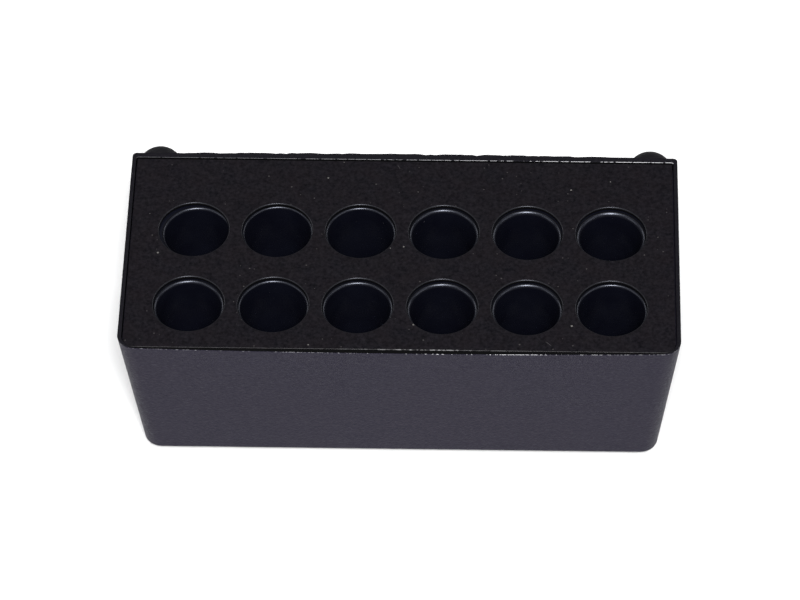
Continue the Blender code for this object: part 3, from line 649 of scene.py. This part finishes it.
def cut_across(piece, count):
    """Cross cuts, so that the long sides can bulge or change along their length."""
    for k in range(count + 1):
        x = -SLICED_HALF + 2 * SLICED_HALF * k / count
        bpy.ops.mesh.select_all(action="SELECT")
        bpy.ops.mesh.bisect(plane_co=(x, 0, 0), plane_no=(1, 0, 0))


def raggedness(x):
    """How far the edge of the rear lip strays along its length: a long wave and a short one."""
    wave = noise.noise(Vector((x * 260, 3.7, 0.0)))
    return 0.30 * MM * (wave + 0.6 * noise.noise(Vector((x * 900, 9.1, 0.0))))


def bulge_walls(tub):
    """The long walls stand out a little at mid-length, most at the rim; the rear lip is ragged."""
    inner_y = RIM_D / 2 - LIP_FRONT / 2
    bm = bmesh.from_edit_mesh(tub.data)
    for vert in bm.verts:
        up = (vert.co.z - tub_low.z) / TUB_H
        across = vert.co.y - TUB_Y
        outside = abs(across) > inner_y - SIDE_DRAFT * (1 - up)
        if not outside or abs(vert.co.x) > BOWED_HALF:
            continue
        share = 1 - (vert.co.x / BOWED_HALF) ** 2
        if across < 0:
            vert.co.y -= RIM_BOW_FRONT * share * up * up
        else:
            lift = raggedness(vert.co.x) * min(1.0, 2 * share) if up > 0.97 else 0.0
            vert.co.y += RIM_BOW_BACK * share * up * up + lift
            vert.co.z += min(0.0, 0.5 * lift) if up > 0.99 else 0.0
    bmesh.update_edit_mesh(tub.data)


def station_of(side):
    """Frames of the inlet (+Z out of the end wall) and the switch (+Z out of the rear wall)."""
    if side == "inlet":
        down = (tub_high.z - INLET_Z) / TUB_H
        place = Vector((RIM_W / 2 - END_DRAFT * down, INLET_Y, INLET_Z))
        return Matrix.Translation(place) @ Matrix.Rotation(math.radians(90) + END_TURN, 4, "Y")
    down = (tub_high.z - SWITCH_Z) / TUB_H
    place = Vector((SWITCH_X, TUB_Y + RIM_D / 2 - SIDE_DRAFT * down, SWITCH_Z))
    return Matrix.Translation(place) @ Matrix.Rotation(-math.radians(90) - SIDE_TURN, 4, "X")


def tub_openings():
    """Cutters for the inlet, the switch slot and its screws, and the seats of the block screws."""
    hole = round_piece("inlet_hole", INLET_HOLE_R, -THROUGH - MM, MM)
    settle(hole, station_of("inlet"))
    slot = box_piece("switch_slot", (-SWITCH_SLOT_X, -SWITCH_SLOT_Y, -THROUGH),
                     (SWITCH_SLOT_X, SWITCH_SLOT_Y, MM))
    settle(slot, station_of("switch"))
    cutters = [hole, slot]
    for side in (-1, 1):
        place = (side * SWITCH_PITCH / 2, 0)
        ear = round_piece("ear_hole", EAR_HOLE_R, -THROUGH, MM, place, sides=32)
        settle(ear, station_of("switch"))
        cutters.append(ear)
    for x, y in SCREWS:
        seat = round_piece("screw_seat", SEAT_R, tub_low.z - MM, tub_low.z + SEAT_DEPTH, (x, y),
                           sides=48)
        edit(seat)
        pick_top(seat)
        resize(SCREW_HOLE_R / SEAT_R, SCREW_HOLE_R / SEAT_R, 1, (x, y, 0))
        pick_top(seat)
        extrude(z=2 * MM)
        done()
        cutters.append(seat)
    return cutters


def slanted(face):
    """True for a face that rounds off an edge of a level top."""
    return 0.12 < face.normal.z < 0.97


def hump(along, centre, width):
    """1 at one place along the length, falling away on both sides of it."""
    return math.exp(-((along - centre) / width) ** 2)


def rim_wear_and_glint(face):
    """Wear and painted highlight on the lip's edges that face the key light: before the deck most
    right of the middle, and behind the deck more and more towards the right."""
    at_the_top = face.center.z > tub_high.z - 0.5 * MM
    if not (at_the_top and slanted(face)) or face.normal.y > -0.3:
        return 0.0
    along = face.center.x / (RIM_W / 2)
    if face.center.y > TUB_Y:
        return 0.12 + 0.88 * min(1.0, max(0.0, (along + 0.9) / 1.6)) ** 2
    return 0.25 + 0.75 * hump(along, 0.30, 0.30)


WALL_FACE, LIP_FACE, SHADED_FACE = 0, 1, 2


def rim_finish(face):
    """Slot for a face of the tub: its walls, its lip in a darker copy of the plastic as painted
    shade, or near-black painted shade on the slot walls, the front lip's top and the lip's outer
    and rear edges.
    """
    if face.center.z < LEDGE_Z + 0.1 * MM:
        return WALL_FACE
    if abs(face.normal.z) < 0.2:
        return SHADED_FACE
    outward = face.normal.x * math.copysign(1, face.center.x)
    in_front = face.center.y < TUB_Y - RIM_D / 2 + LIP_FRONT + 0.3 * MM
    if in_front and abs(face.center.x) < RIM_W / 2 - FRONT_CORNER_R:
        return SHADED_FACE if face.normal.z > FACING else WALL_FACE
    if face.center.y < TUB_Y and face.normal.y < -0.3:
        return WALL_FACE
    return SHADED_FACE if outward > 0.2 or face.normal.y > 0.2 else LIP_FACE


def deck_wear_and_glint(face):
    """Wear and painted highlight on the deck's front edge, which faces the key light, most near
    the middle.
    """
    in_front = face.center.y < FRONT_EDGE_Y and abs(face.center.x) < 60 * MM
    if not in_front or not slanted(face):
        return 0.0
    return 0.22 * hump(face.center.x / (RIM_W / 2), 0.10, 0.20)


def make_tub():
    tub = tub_body()
    hollow_out(tub)
    cut_across(tub, TUB_SLICES)
    bulge_walls(tub)
    done()
    carve(tub, tub_openings())
    mark_edges(tub, rim_wear_and_glint)
    smooth(tub, 40)
    fit(tub, TUB_PLASTIC, "tub_plastic", HOUSING, "housing_tub")
    # Slot 1, the lip: the same plastic made darker as painted shade.
    tub.data.materials.append(RIM_PLASTIC_IN_PAINTED_SHADE)
    # Slot 2: near-black painted shade on the slot walls, the front lip's top and the lip's outer
    # and rear edges.
    tub.data.materials.append(PAINTED_SHADE_BLACK)
    for face in tub.data.polygons:
        face.material_index = rim_finish(face)


# ---- deck ----------------------------------------------------------------------------------
def at_a_well(point):
    """True at the edge of a hole through the deck."""
    reach = DECK_HOLE_R + HOLE_ROUNDING + 0.05 * MM
    return any(math.hypot(point.x - x, point.y - y) < reach for x, y in WELLS)


def make_deck():
    low = (deck_low.x, TUB_Y - RIM_D / 2 + LIP_FRONT + DECK_SLOT, deck_low.z)
    high = (deck_high.x, TUB_Y + RIM_D / 2 - LIP_BACK - DECK_SLOT, deck_high.z)
    deck = box_piece("deck_sheet", low, high)
    edit(deck)
    pick(deck, "edges", lambda e: upright(e) and middle(e).y < TUB_Y)
    bevel(DECK_FRONT_R, segments=8)
    pick(deck, "edges", lambda e: upright(e) and middle(e).y > TUB_Y + RIM_D / 4)
    bevel(DECK_BACK_R, segments=3)
    cut_across(deck, DECK_SLICES)
    pick(deck, "edges", lambda e: level(e, deck_high.z) and middle(e).y < FRONT_EDGE_Y)
    bevel(DECK_FRONT_ROUNDING, segments=3)
    done()
    top = deck_high.z + CUT_SLACK
    carve(deck, [flared_cutter("punch", DECK_HOLE_R, HOLE_ROUNDING, deck_low.z - MM, top, well)
                 for well in WELLS])
    soften(deck, DECK_ROUNDING)
    mark_edges(deck, deck_wear_and_glint)
    smooth(deck)
    fit(deck, DECK_BLACK, "deck_black", HOUSING, "deck_plate")
    deck.data.materials.append(PAINTED_SHADE_BLACK)
    deck.data.materials.append(HOLE_EDGE)
    # Hole walls get the near-black finish, painted shade; the rounded hole edges get their own
    # finish.
    for face in deck.data.polygons:
        if face.normal.z < 0.99 and at_a_well(face.center):
            face.material_index = 2 if face.normal.z > 0.1 else 1


# ---- block ---------------------------------------------------------------------------------
# Countersinking by hand leaves each mouth a little different: shift to the right, shift to
# the rear, and width of the chamfer, in millimetres, front row first, left to right.
MOUTHS = (
    (0.00, -0.05, 0.72), (0.05, 0.10, 0.52), (0.00, 0.00, 0.68),
    (0.00, -0.10, 0.80), (0.05, -0.05, 0.75), (0.05, 0.10, 0.55),
    (0.75, -0.30, 0.60), (0.10, 0.20, 0.45), (0.00, 0.15, 0.50),
    (0.00, 0.00, 0.75), (-0.10, -0.15, 0.85), (0.00, -0.20, 0.95),
)


BLOCK_CORNER_R = 1.0 * MM
DRILL_TIP = 0.2                 # width of the drill's tip, as a share of its whole width
TAPPED_UP_TO = 18.6 * MM        # top of the four screw holes in the block's underside
CLIP_HOLE = (-6 * MM, 5.3 * MM)     # from outside the block's rear face to the hole's bottom
MOUTH_DEPTH = 1.2 * MM


def make_block():
    block = box_piece("well_block", block_low, block_high)
    edit(block)
    pick(block, "edges", upright)
    bevel(BLOCK_CORNER_R, segments=4)
    done()
    drills = []
    for (x, y), (right, rear, width) in zip(WELLS, MOUTHS):
        centre = (x + right * MM, y + rear * MM)
        drill = flared_cutter("drill", DECK_HOLE_R - width * MM, width * MM,
                              block_high.z - WELL_DEPTH, block_high.z + CUT_SLACK, centre)
        edit(drill)
        pick_bottom(drill, corners=8)
        extrude(z=-DRILL_POINT)
        resize(DRILL_TIP, DRILL_TIP, 1, (*centre, block_high.z))
        done()
        drills.append(drill)
    for x, y in SCREWS:
        drills.append(round_piece("tapping", SCREW_HOLE_R, block_low.z - MM, TAPPED_UP_TO, (x, y),
                                  sides=32))
    clip_low, clip_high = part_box("clip_screw")
    tapping = round_piece("tapping", SCREW_HOLE_R, *CLIP_HOLE, sides=32)
    turn = Matrix.Rotation(math.radians(90), 4, "X")
    settle(tapping, Matrix.Translation((0, block_high.y, (clip_low.z + clip_high.z) / 2)) @ turn)
    carve(block, drills + [tapping])
    smooth(block, 30)
    fit(block, ANODISED, "black_anodised", HOUSING, "heating_block")
    block.data.materials.append(PAINTED_SHADE_BLACK)
    block.data.materials.append(MOUTH_POLISH)
    # The upper facet of each mouth gets the near-black finish as painted shade; the rest of the
    # mouth a glossier finish.
    for face in block.data.polygons:
        if face.center.z > block_high.z - MOUTH_DEPTH and 0.05 < face.normal.z < 0.999:
            face.material_index = 1 if face.normal.z > 0.93 else 2


# ---- rubber ----------------------------------------------------------------------------------
RUBBER_ROUNDING = 0.12 * MM
SKIRT = 0.25 * MM               # upright skirt of a bumper, at the wall
SOLE_BORDER, SOLE_ROUNDING = 1.6 * MM, 0.45 * MM
DIMPLE_DEPTH, DIMPLE_TAPER = 0.35 * MM, 0.85


def make_bumpers():
    """Domes with a thin skirt, square on the drafted rear wall."""
    for side in ("left", "right"):
        node = "rear_bumper_" + side
        low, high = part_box(node)
        radius = (high.x - low.x) / 2
        clear_selection()
        bpy.ops.mesh.primitive_uv_sphere_add(segments=64, ring_count=32, radius=radius)
        dome = named("bumper_" + side)
        edit(dome)
        bpy.ops.mesh.select_all(action="SELECT")
        bpy.ops.mesh.bisect(plane_co=(0, 0, SKIRT), plane_no=(0, 0, -1), clear_outer=True,
                            use_fill=True)
        pick_bottom(dome, corners=8)
        extrude(z=-SKIRT)
        done()
        soften(dome, RUBBER_ROUNDING)
        smooth(dome)
        turn = Matrix.Rotation(-math.radians(90) - SIDE_TURN, 4, "X")
        centre = Vector(((low.x + high.x) / 2, high.y - radius, (low.z + high.z) / 2))
        settle(dome, Matrix.Translation(centre) @ turn)
        fit(dome, BLACK_RUBBER, "black_rubber", HOUSING, node)


def make_feet():
    """Round feet with a sloped edge and a shallow dimple in the sole."""
    low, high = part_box("foot_1")
    radius = (high.x - low.x) / 2
    foot = round_piece("foot", radius, 0, high.z - low.z)
    edit(foot)
    pick_bottom(foot)
    inset(SOLE_BORDER)
    extrude(z=DIMPLE_DEPTH)
    resize(DIMPLE_TAPER, DIMPLE_TAPER, 1, (0, 0, 0))
    pick(foot, "edges", lambda e: level(e, 0) and middle(e).length > 0.9 * radius)
    bevel(SOLE_ROUNDING, segments=4)
    done()
    soften(foot, RUBBER_ROUNDING)
    smooth(foot)
    for k in range(1, 5):
        node = "foot_%d" % k
        low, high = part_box(node)
        made = copy_of(foot, "rubber_" + node)
        settle(made, Matrix.Translation(((low.x + high.x) / 2, (low.y + high.y) / 2, low.z)))
        fit(made, BLACK_RUBBER, "black_rubber", HOUSING, node)
    discard(foot)


# ---- small hardware ---------------------------------------------------------------------------
SINK_HEAD_R, SINK_HEAD_H, SINK_SHANK = 3.0 * MM, 1.5 * MM, 14.5 * MM
SOCKET_R, SOCKET_DEPTH = 1.15 * MM, 0.9 * MM
PAN_HEAD_R, PAN_HEAD_H, PAN_DOME = 1.9 * MM, 1.3 * MM, 0.75 * MM
PAN_LEDGE, PAN_SHANK = 0.9 * MM, 4.8 * MM
CROSS_LENGTH, CROSS_WIDTH, CROSS_FLOOR = 2.1 * MM, 0.4 * MM, 0.55 * MM
PAN_STANDS_OUT = 0.3 * MM       # gap between the rear wall and the heads of the switch's screws


def countersunk_screw():
    """Head down at z = 0, with a hexagon socket; the shank is half as wide as the head."""
    screw = round_piece("screw", SINK_HEAD_R, 0, SINK_HEAD_H, sides=48)
    edit(screw)
    pick_top(screw)
    resize(0.5, 0.5, 1, (0, 0, 0))
    pick_top(screw)
    extrude(z=SINK_SHANK)
    done()
    socket = round_piece("socket", SOCKET_R, -MM, SOCKET_DEPTH, sides=6)
    carve(screw, [socket])
    soften(screw, 0.08 * MM)
    smooth(screw)
    return screw


def pan_screw():
    """Head up from z = 0, domed, with a cross recess."""
    screw = round_piece("screw", PAN_HEAD_R, 0, PAN_HEAD_H, sides=48)
    edit(screw)
    pick(screw, "edges", lambda e: level(e, PAN_HEAD_H))
    bevel(PAN_DOME, segments=6)
    pick_bottom(screw)
    inset(PAN_LEDGE)
    extrude(z=-PAN_SHANK)
    done()
    slots = []
    for turn in (0, 90):
        slot = box_piece("slot", (-CROSS_LENGTH / 2, -CROSS_WIDTH / 2, CROSS_FLOOR),
                         (CROSS_LENGTH / 2, CROSS_WIDTH / 2, 2 * MM))
        settle(slot, Matrix.Rotation(math.radians(turn + 25), 4, "Z"))
        slots.append(slot)
    carve(screw, slots)
    soften(screw, 0.05 * MM)
    smooth(screw)
    return screw


def make_screws():
    """Every screw is turned by an angle of its own, as screws are when they are tight."""
    screw = countersunk_screw()
    for k, (x, y) in enumerate(SCREWS, start=1):
        node = "block_screw_%d" % k
        made = copy_of(screw, "steel_" + node)
        turn = Matrix.Rotation(math.radians(17 + 41 * k), 4, "Z")
        settle(made, Matrix.Translation((x, y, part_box(node)[0].z)) @ turn)
        fit(made, ZINC_STEEL, "zinc_steel", HOUSING, node)
    discard(screw)
    screw = pan_screw()
    for k, side in enumerate((-1, 1), start=1):
        node = "switch_screw_%d" % k
        made = copy_of(screw, "steel_" + node)
        place = Matrix.Translation((side * SWITCH_PITCH / 2, 0, PAN_STANDS_OUT))
        turn = Matrix.Rotation(math.radians(38 * k), 4, "Z")
        settle(made, station_of("switch") @ place @ turn)
        fit(made, ZINC_STEEL, "zinc_steel", HOUSING, node)
    discard(screw)


# Heights along the inlet's axis are from the outside of the end wall, outwards.
SHOULDER, MOUTH_TOP = -2.8 * MM, 2.0 * MM
BARREL_R, BARREL_LENGTH = 4.6 * MM, 10.9 * MM
SHOULDER_STEP, MOUTH_WALL, MOUTH_BORE = 0.6 * MM, 1.1 * MM, 9.0 * MM
PIN_R, PIN_LOW, PIN_TOP, PIN_ROUNDING = 1.0 * MM, -6.6 * MM, 0.5 * MM, 0.5 * MM
NUT_R, NUT_LOW, NUT_TOP, NUT_BORE_R = 5.6 * MM, 0.3 * MM, 1.8 * MM, 4.15 * MM
CONE_R, CONE_SPREAD = 5.35 * MM, 1.9


def make_inlet():
    """Barrel with a socket, its centre pin, and a chamfered hexagon nut."""
    barrel = round_piece("inlet_barrel", BARREL_R, SHOULDER - BARREL_LENGTH, SHOULDER)
    edit(barrel)
    pick_top(barrel)
    inset(SHOULDER_STEP)
    extrude(z=MOUTH_TOP - SHOULDER)
    inset(MOUTH_WALL)
    extrude(z=-MOUTH_BORE)
    done()
    soften(barrel, 0.15 * MM, 3)
    smooth(barrel)
    settle(barrel, station_of("inlet"))
    fit(barrel, BLACK_CASE, "black_case", HOUSING, "inlet_body")

    pin = round_piece("inlet_centre_pin", PIN_R, PIN_LOW, PIN_TOP, sides=32)
    edit(pin)
    pick(pin, "edges", lambda e: level(e, PIN_TOP))
    bevel(PIN_ROUNDING, segments=4)
    done()
    smooth(pin)
    settle(pin, station_of("inlet"))
    fit(pin, BRASS, "brass", HOUSING, "inlet_pin")

    nut = round_piece("inlet_hex_nut", NUT_R, NUT_LOW, NUT_TOP, sides=6)
    edit(nut)
    bpy.ops.mesh.select_all(action="SELECT")
    bpy.ops.mesh.subdivide(number_cuts=7)
    done()
    carve(nut, [round_piece("bore", NUT_BORE_R, -MM, 3 * MM)])
    trim_nut_corners(nut)
    soften(nut, 0.10 * MM)
    smooth(nut, 30)
    settle(nut, station_of("inlet"))
    fit(nut, ZINC_STEEL, "zinc_steel", HOUSING, "inlet_nut")


def trim_nut_corners(nut):
    """Turned chamfer on the outer face: only what lies inside a cone stays."""
    cone = round_piece("cone", CONE_R, -MM, NUT_TOP, sides=96)
    edit(cone)
    pick_bottom(cone)
    resize(CONE_SPREAD, CONE_SPREAD, 1, (0, 0, 0))
    done()
    combine(nut, cone, "INTERSECT")


KNOB_LOW, KNOB_HIGH = (-2.0 * MM, -1.9 * MM, -5.0 * MM), (2.0 * MM, 1.9 * MM, 3.6 * MM)
KNOB_ROUNDING = 0.4 * MM
GROOVE_PITCH, GROOVE_HALF, GROOVE_FLOOR = 0.95 * MM, 0.22 * MM, 3.15 * MM


def make_knob():
    """Slide knob with grip ribs across its travel."""
    knob = box_piece("slide_knob", KNOB_LOW, KNOB_HIGH)
    edit(knob)
    pick(knob, "edges", lambda e: level(e, KNOB_HIGH[2]))
    bevel(KNOB_ROUNDING, segments=4)
    done()
    grooves = []
    for k in (-1, 0, 1):
        x = GROOVE_PITCH * k
        grooves.append(box_piece("groove", (x - GROOVE_HALF, -3 * MM, GROOVE_FLOOR),
                                 (x + GROOVE_HALF, 3 * MM, 4.5 * MM)))
    carve(knob, grooves)
    soften(knob, 0.08 * MM)
    smooth(knob)
    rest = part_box("switch_knob")
    shift = (rest[0].x + rest[1].x) / 2 - SWITCH_X
    settle(knob, station_of("switch") @ Matrix.Translation((shift, 0, 0)))
    fit(knob, KNOB_PLASTIC, "knob_plastic", SWITCH, "switch_knob")


# ---- carried-over pieces ---------------------------------------------------------------------
def dress_carried_pieces():
    """Finishes for the frame's own pieces that stay."""
    finishes = {
        "black_rubber": BLACK_RUBBER,
        "heater_silicone": plain_finish("heater_silicone", (0.30, 0.06, 0.03), (0.40, 0.09, 0.05),
                                        roughness=0.62, patches=120, grains=1500),
        "mill_aluminium": plated_metal("mill_aluminium", (0.68, 0.68, 0.69), 0.38),
        "insulation_felt": plain_finish("insulation_felt", (0.48, 0.46, 0.41), (0.66, 0.64, 0.58),
                                        roughness=0.95, patches=500, grains=1800,
                                        depth=0.2 * MM),
        "steatite": plain_finish("steatite", (0.70, 0.68, 0.62), (0.80, 0.78, 0.72),
                                 roughness=0.45, patches=200, grains=2500),
        "black_case": BLACK_CASE,
        "tinned_steel": plated_metal("tinned_steel", (0.60, 0.60, 0.58), 0.30),
        "zinc_steel": ZINC_STEEL,
        "red_lead": plain_finish("red_lead", (0.36, 0.02, 0.015), (0.46, 0.035, 0.02),
                                 roughness=0.42, patches=200, grains=2500),
        "black_lead": plain_finish("black_lead", (0.012, 0.012, 0.013), (0.020, 0.020, 0.021),
                                   roughness=0.42, patches=200, grains=2500),
    }
    slots = {row["node"]: row["material_slot"] for row in frame["record"]["subparts"]}
    for node, piece in frame["nodes"].items():
        if piece.hide_render:
            continue
        piece.data.materials.clear()
        piece.data.materials.append(finishes[slots[node]])


# ---- studio ----------------------------------------------------------------------------------
CAMERA_LENS, CAMERA_SENSOR = 197.3, 36      # millimetres
CAMERA_DISTANCE, CAMERA_CLIP = 1.0191, 0.05
CAMERA_AZIMUTH = 2.22           # degrees to the right of square on
CAMERA_ELEVATION = 49.9
CAMERA_ROLL = -1.025
CAMERA_AIM = Vector((0.0, GRID_Y - 9.66 * MM, deck_high.z))


LIGHTS_AIM = (0, 0, 0.02)
LIGHTS = {                      # place, width and height in metres, and power in watts
    "key": ((0.12, -1.50, 2.04), (0.60, 0.44), 80),
    "top": ((0.0, -1.0, 2.5), (2.0, 1.4), 20),
    "left": ((-2.2, -0.9, 1.0), (1.6, 1.2), 10),
    "right": ((2.2, -0.9, 1.0), (1.6, 1.2), 10),
    "rear_left": ((-2.0, 1.5, 1.3), (1.2, 0.9), 9),
    "rear_right": ((2.0, 1.5, 1.3), (1.2, 0.9), 9),
}
FLOOR_SIZE = 8
WORLD_COLOUR = (0.96, 0.97, 1.0, 1.0)
WORLD_ON_PIECES, WORLD_SEEN = 0.10, 1.0     # strength of the world's light


def place_camera():
    data = bpy.data.cameras.new("camera")
    data.lens = CAMERA_LENS
    data.sensor_width = CAMERA_SENSOR
    data.clip_start = CAMERA_CLIP
    camera = bpy.data.objects.new("camera", data)
    bpy.context.collection.objects.link(camera)
    azimuth, elevation = math.radians(CAMERA_AZIMUTH), math.radians(CAMERA_ELEVATION)
    back = Vector((math.sin(azimuth) * math.cos(elevation),
                   -math.cos(azimuth) * math.cos(elevation), math.sin(elevation)))
    look = (-back).to_track_quat("-Z", "Y").to_matrix().to_4x4()
    roll = Matrix.Rotation(math.radians(CAMERA_ROLL), 4, "Z")
    camera.matrix_world = Matrix.Translation(CAMERA_AIM + back * CAMERA_DISTANCE) @ look @ roll
    bpy.context.scene.camera = camera


def softbox(name, place, size, power):
    data = bpy.data.lights.new(name, "AREA")
    data.shape = "RECTANGLE"
    data.size, data.size_y = size
    data.energy = power
    lamp = bpy.data.objects.new(name, data)
    bpy.context.collection.objects.link(lamp)
    lamp.location = place
    lamp.rotation_euler = (Vector(LIGHTS_AIM) - Vector(place)).to_track_quat("-Z", "Y").to_euler()


def build_studio():
    """Pale floor, six soft lights, and a world that looks white but lights the pieces little."""
    clear_selection()
    bpy.ops.mesh.primitive_plane_add(size=FLOOR_SIZE, location=(0, 0, 0))
    floor = named("floor")
    pale = Finish("pale_floor", (0.90, 0.90, 0.90), 0.9, specular=0.1)
    pale.tone(pale.group(MOTTLE, Patches_per_metre=3.0), (0.89, 0.89, 0.89), (0.91, 0.91, 0.91))
    floor.data.materials.append(pale.material)

    for name, (place, size, power) in LIGHTS.items():
        softbox(name, place, size, power)

    world = bpy.data.worlds.new("studio")
    world.use_nodes = True
    nodes, links = world.node_tree.nodes, world.node_tree.links
    backdrop = nodes["Background"]
    seen = nodes.new("ShaderNodeLightPath")
    strength = nodes.new("ShaderNodeMapRange")
    strength.inputs["To Min"].default_value = WORLD_ON_PIECES
    strength.inputs["To Max"].default_value = WORLD_SEEN
    links.new(seen.outputs["Is Camera Ray"], strength.inputs["Value"])
    links.new(strength.outputs[0], backdrop.inputs["Strength"])
    backdrop.inputs["Color"].default_value = WORLD_COLOUR
    bpy.context.scene.world = world
    bpy.context.scene.view_settings.view_transform = "Standard"


TUB_PLASTIC = tub_plastic("tub_plastic", dark=(0.0085, 0.0078, 0.0130),
                          light=(0.0165, 0.0152, 0.0235), patch=(0.0140, 0.0115, 0.0175),
                          tint=(0.65, 0.58, 1.0), nicks_and_glints=1500.0, cover=0.60)
# A darker, more neutral copy of the same plastic for the lip's up-facing faces: painted shade.
RIM_PLASTIC_IN_PAINTED_SHADE = tub_plastic("rim_plastic_painted_shade", dark=(0.0038, 0.0036, 0.0046),
                          light=(0.0092, 0.0088, 0.0112), patch=(0.0080, 0.0070, 0.0090),
                          tint=(0.80, 0.78, 1.0), nicks_and_glints=1300.0, cover=0.72)
DECK_BLACK = deck_black()
# Near-black laid where shade falls: the deck's hole walls, the mouths' upper facets, the walls of
# the deck's slot and the lip's edges; painted shade.
PAINTED_SHADE_BLACK = plain_finish("painted_shade_black", (0.0008, 0.0008, 0.0010), (0.0016, 0.0016, 0.0020),
                            roughness=0.7, patches=300, grains=1500, specular=0.08)
ANODISED = black_anodised()
MOUTH_POLISH = plain_finish("mouth_polish", (0.0040, 0.0042, 0.0070), (0.0070, 0.0074, 0.0110),
                            roughness=0.32, patches=600, grains=1500, specular=0.55,
                            tint=(0.80, 0.85, 1.0))
HOLE_EDGE = plain_finish("hole_edge", (0.0060, 0.0059, 0.0072), (0.0125, 0.0122, 0.0145),
                         roughness=0.34, patches=700, grains=1500, specular=0.3,
                         tint=(0.85, 0.88, 1.0))
BLACK_RUBBER = black_rubber()
ZINC_STEEL = plated_metal("zinc_steel", (0.55, 0.55, 0.56), 0.34)
BRASS = plated_metal("brass", (0.72, 0.50, 0.20), 0.28)
BLACK_CASE = plain_finish("black_case", (0.014, 0.014, 0.016), (0.022, 0.022, 0.024),
                          roughness=0.42, patches=200, grains=2500)
KNOB_PLASTIC = plain_finish("knob_plastic", (0.022, 0.022, 0.025), (0.032, 0.032, 0.036),
                            roughness=0.46, patches=200, grains=3000)

place_camera()
make_tub()
make_deck()
make_block()
make_bumpers()
make_feet()
make_screws()
make_inlet()
make_knob()
dress_carried_pieces()
build_studio()
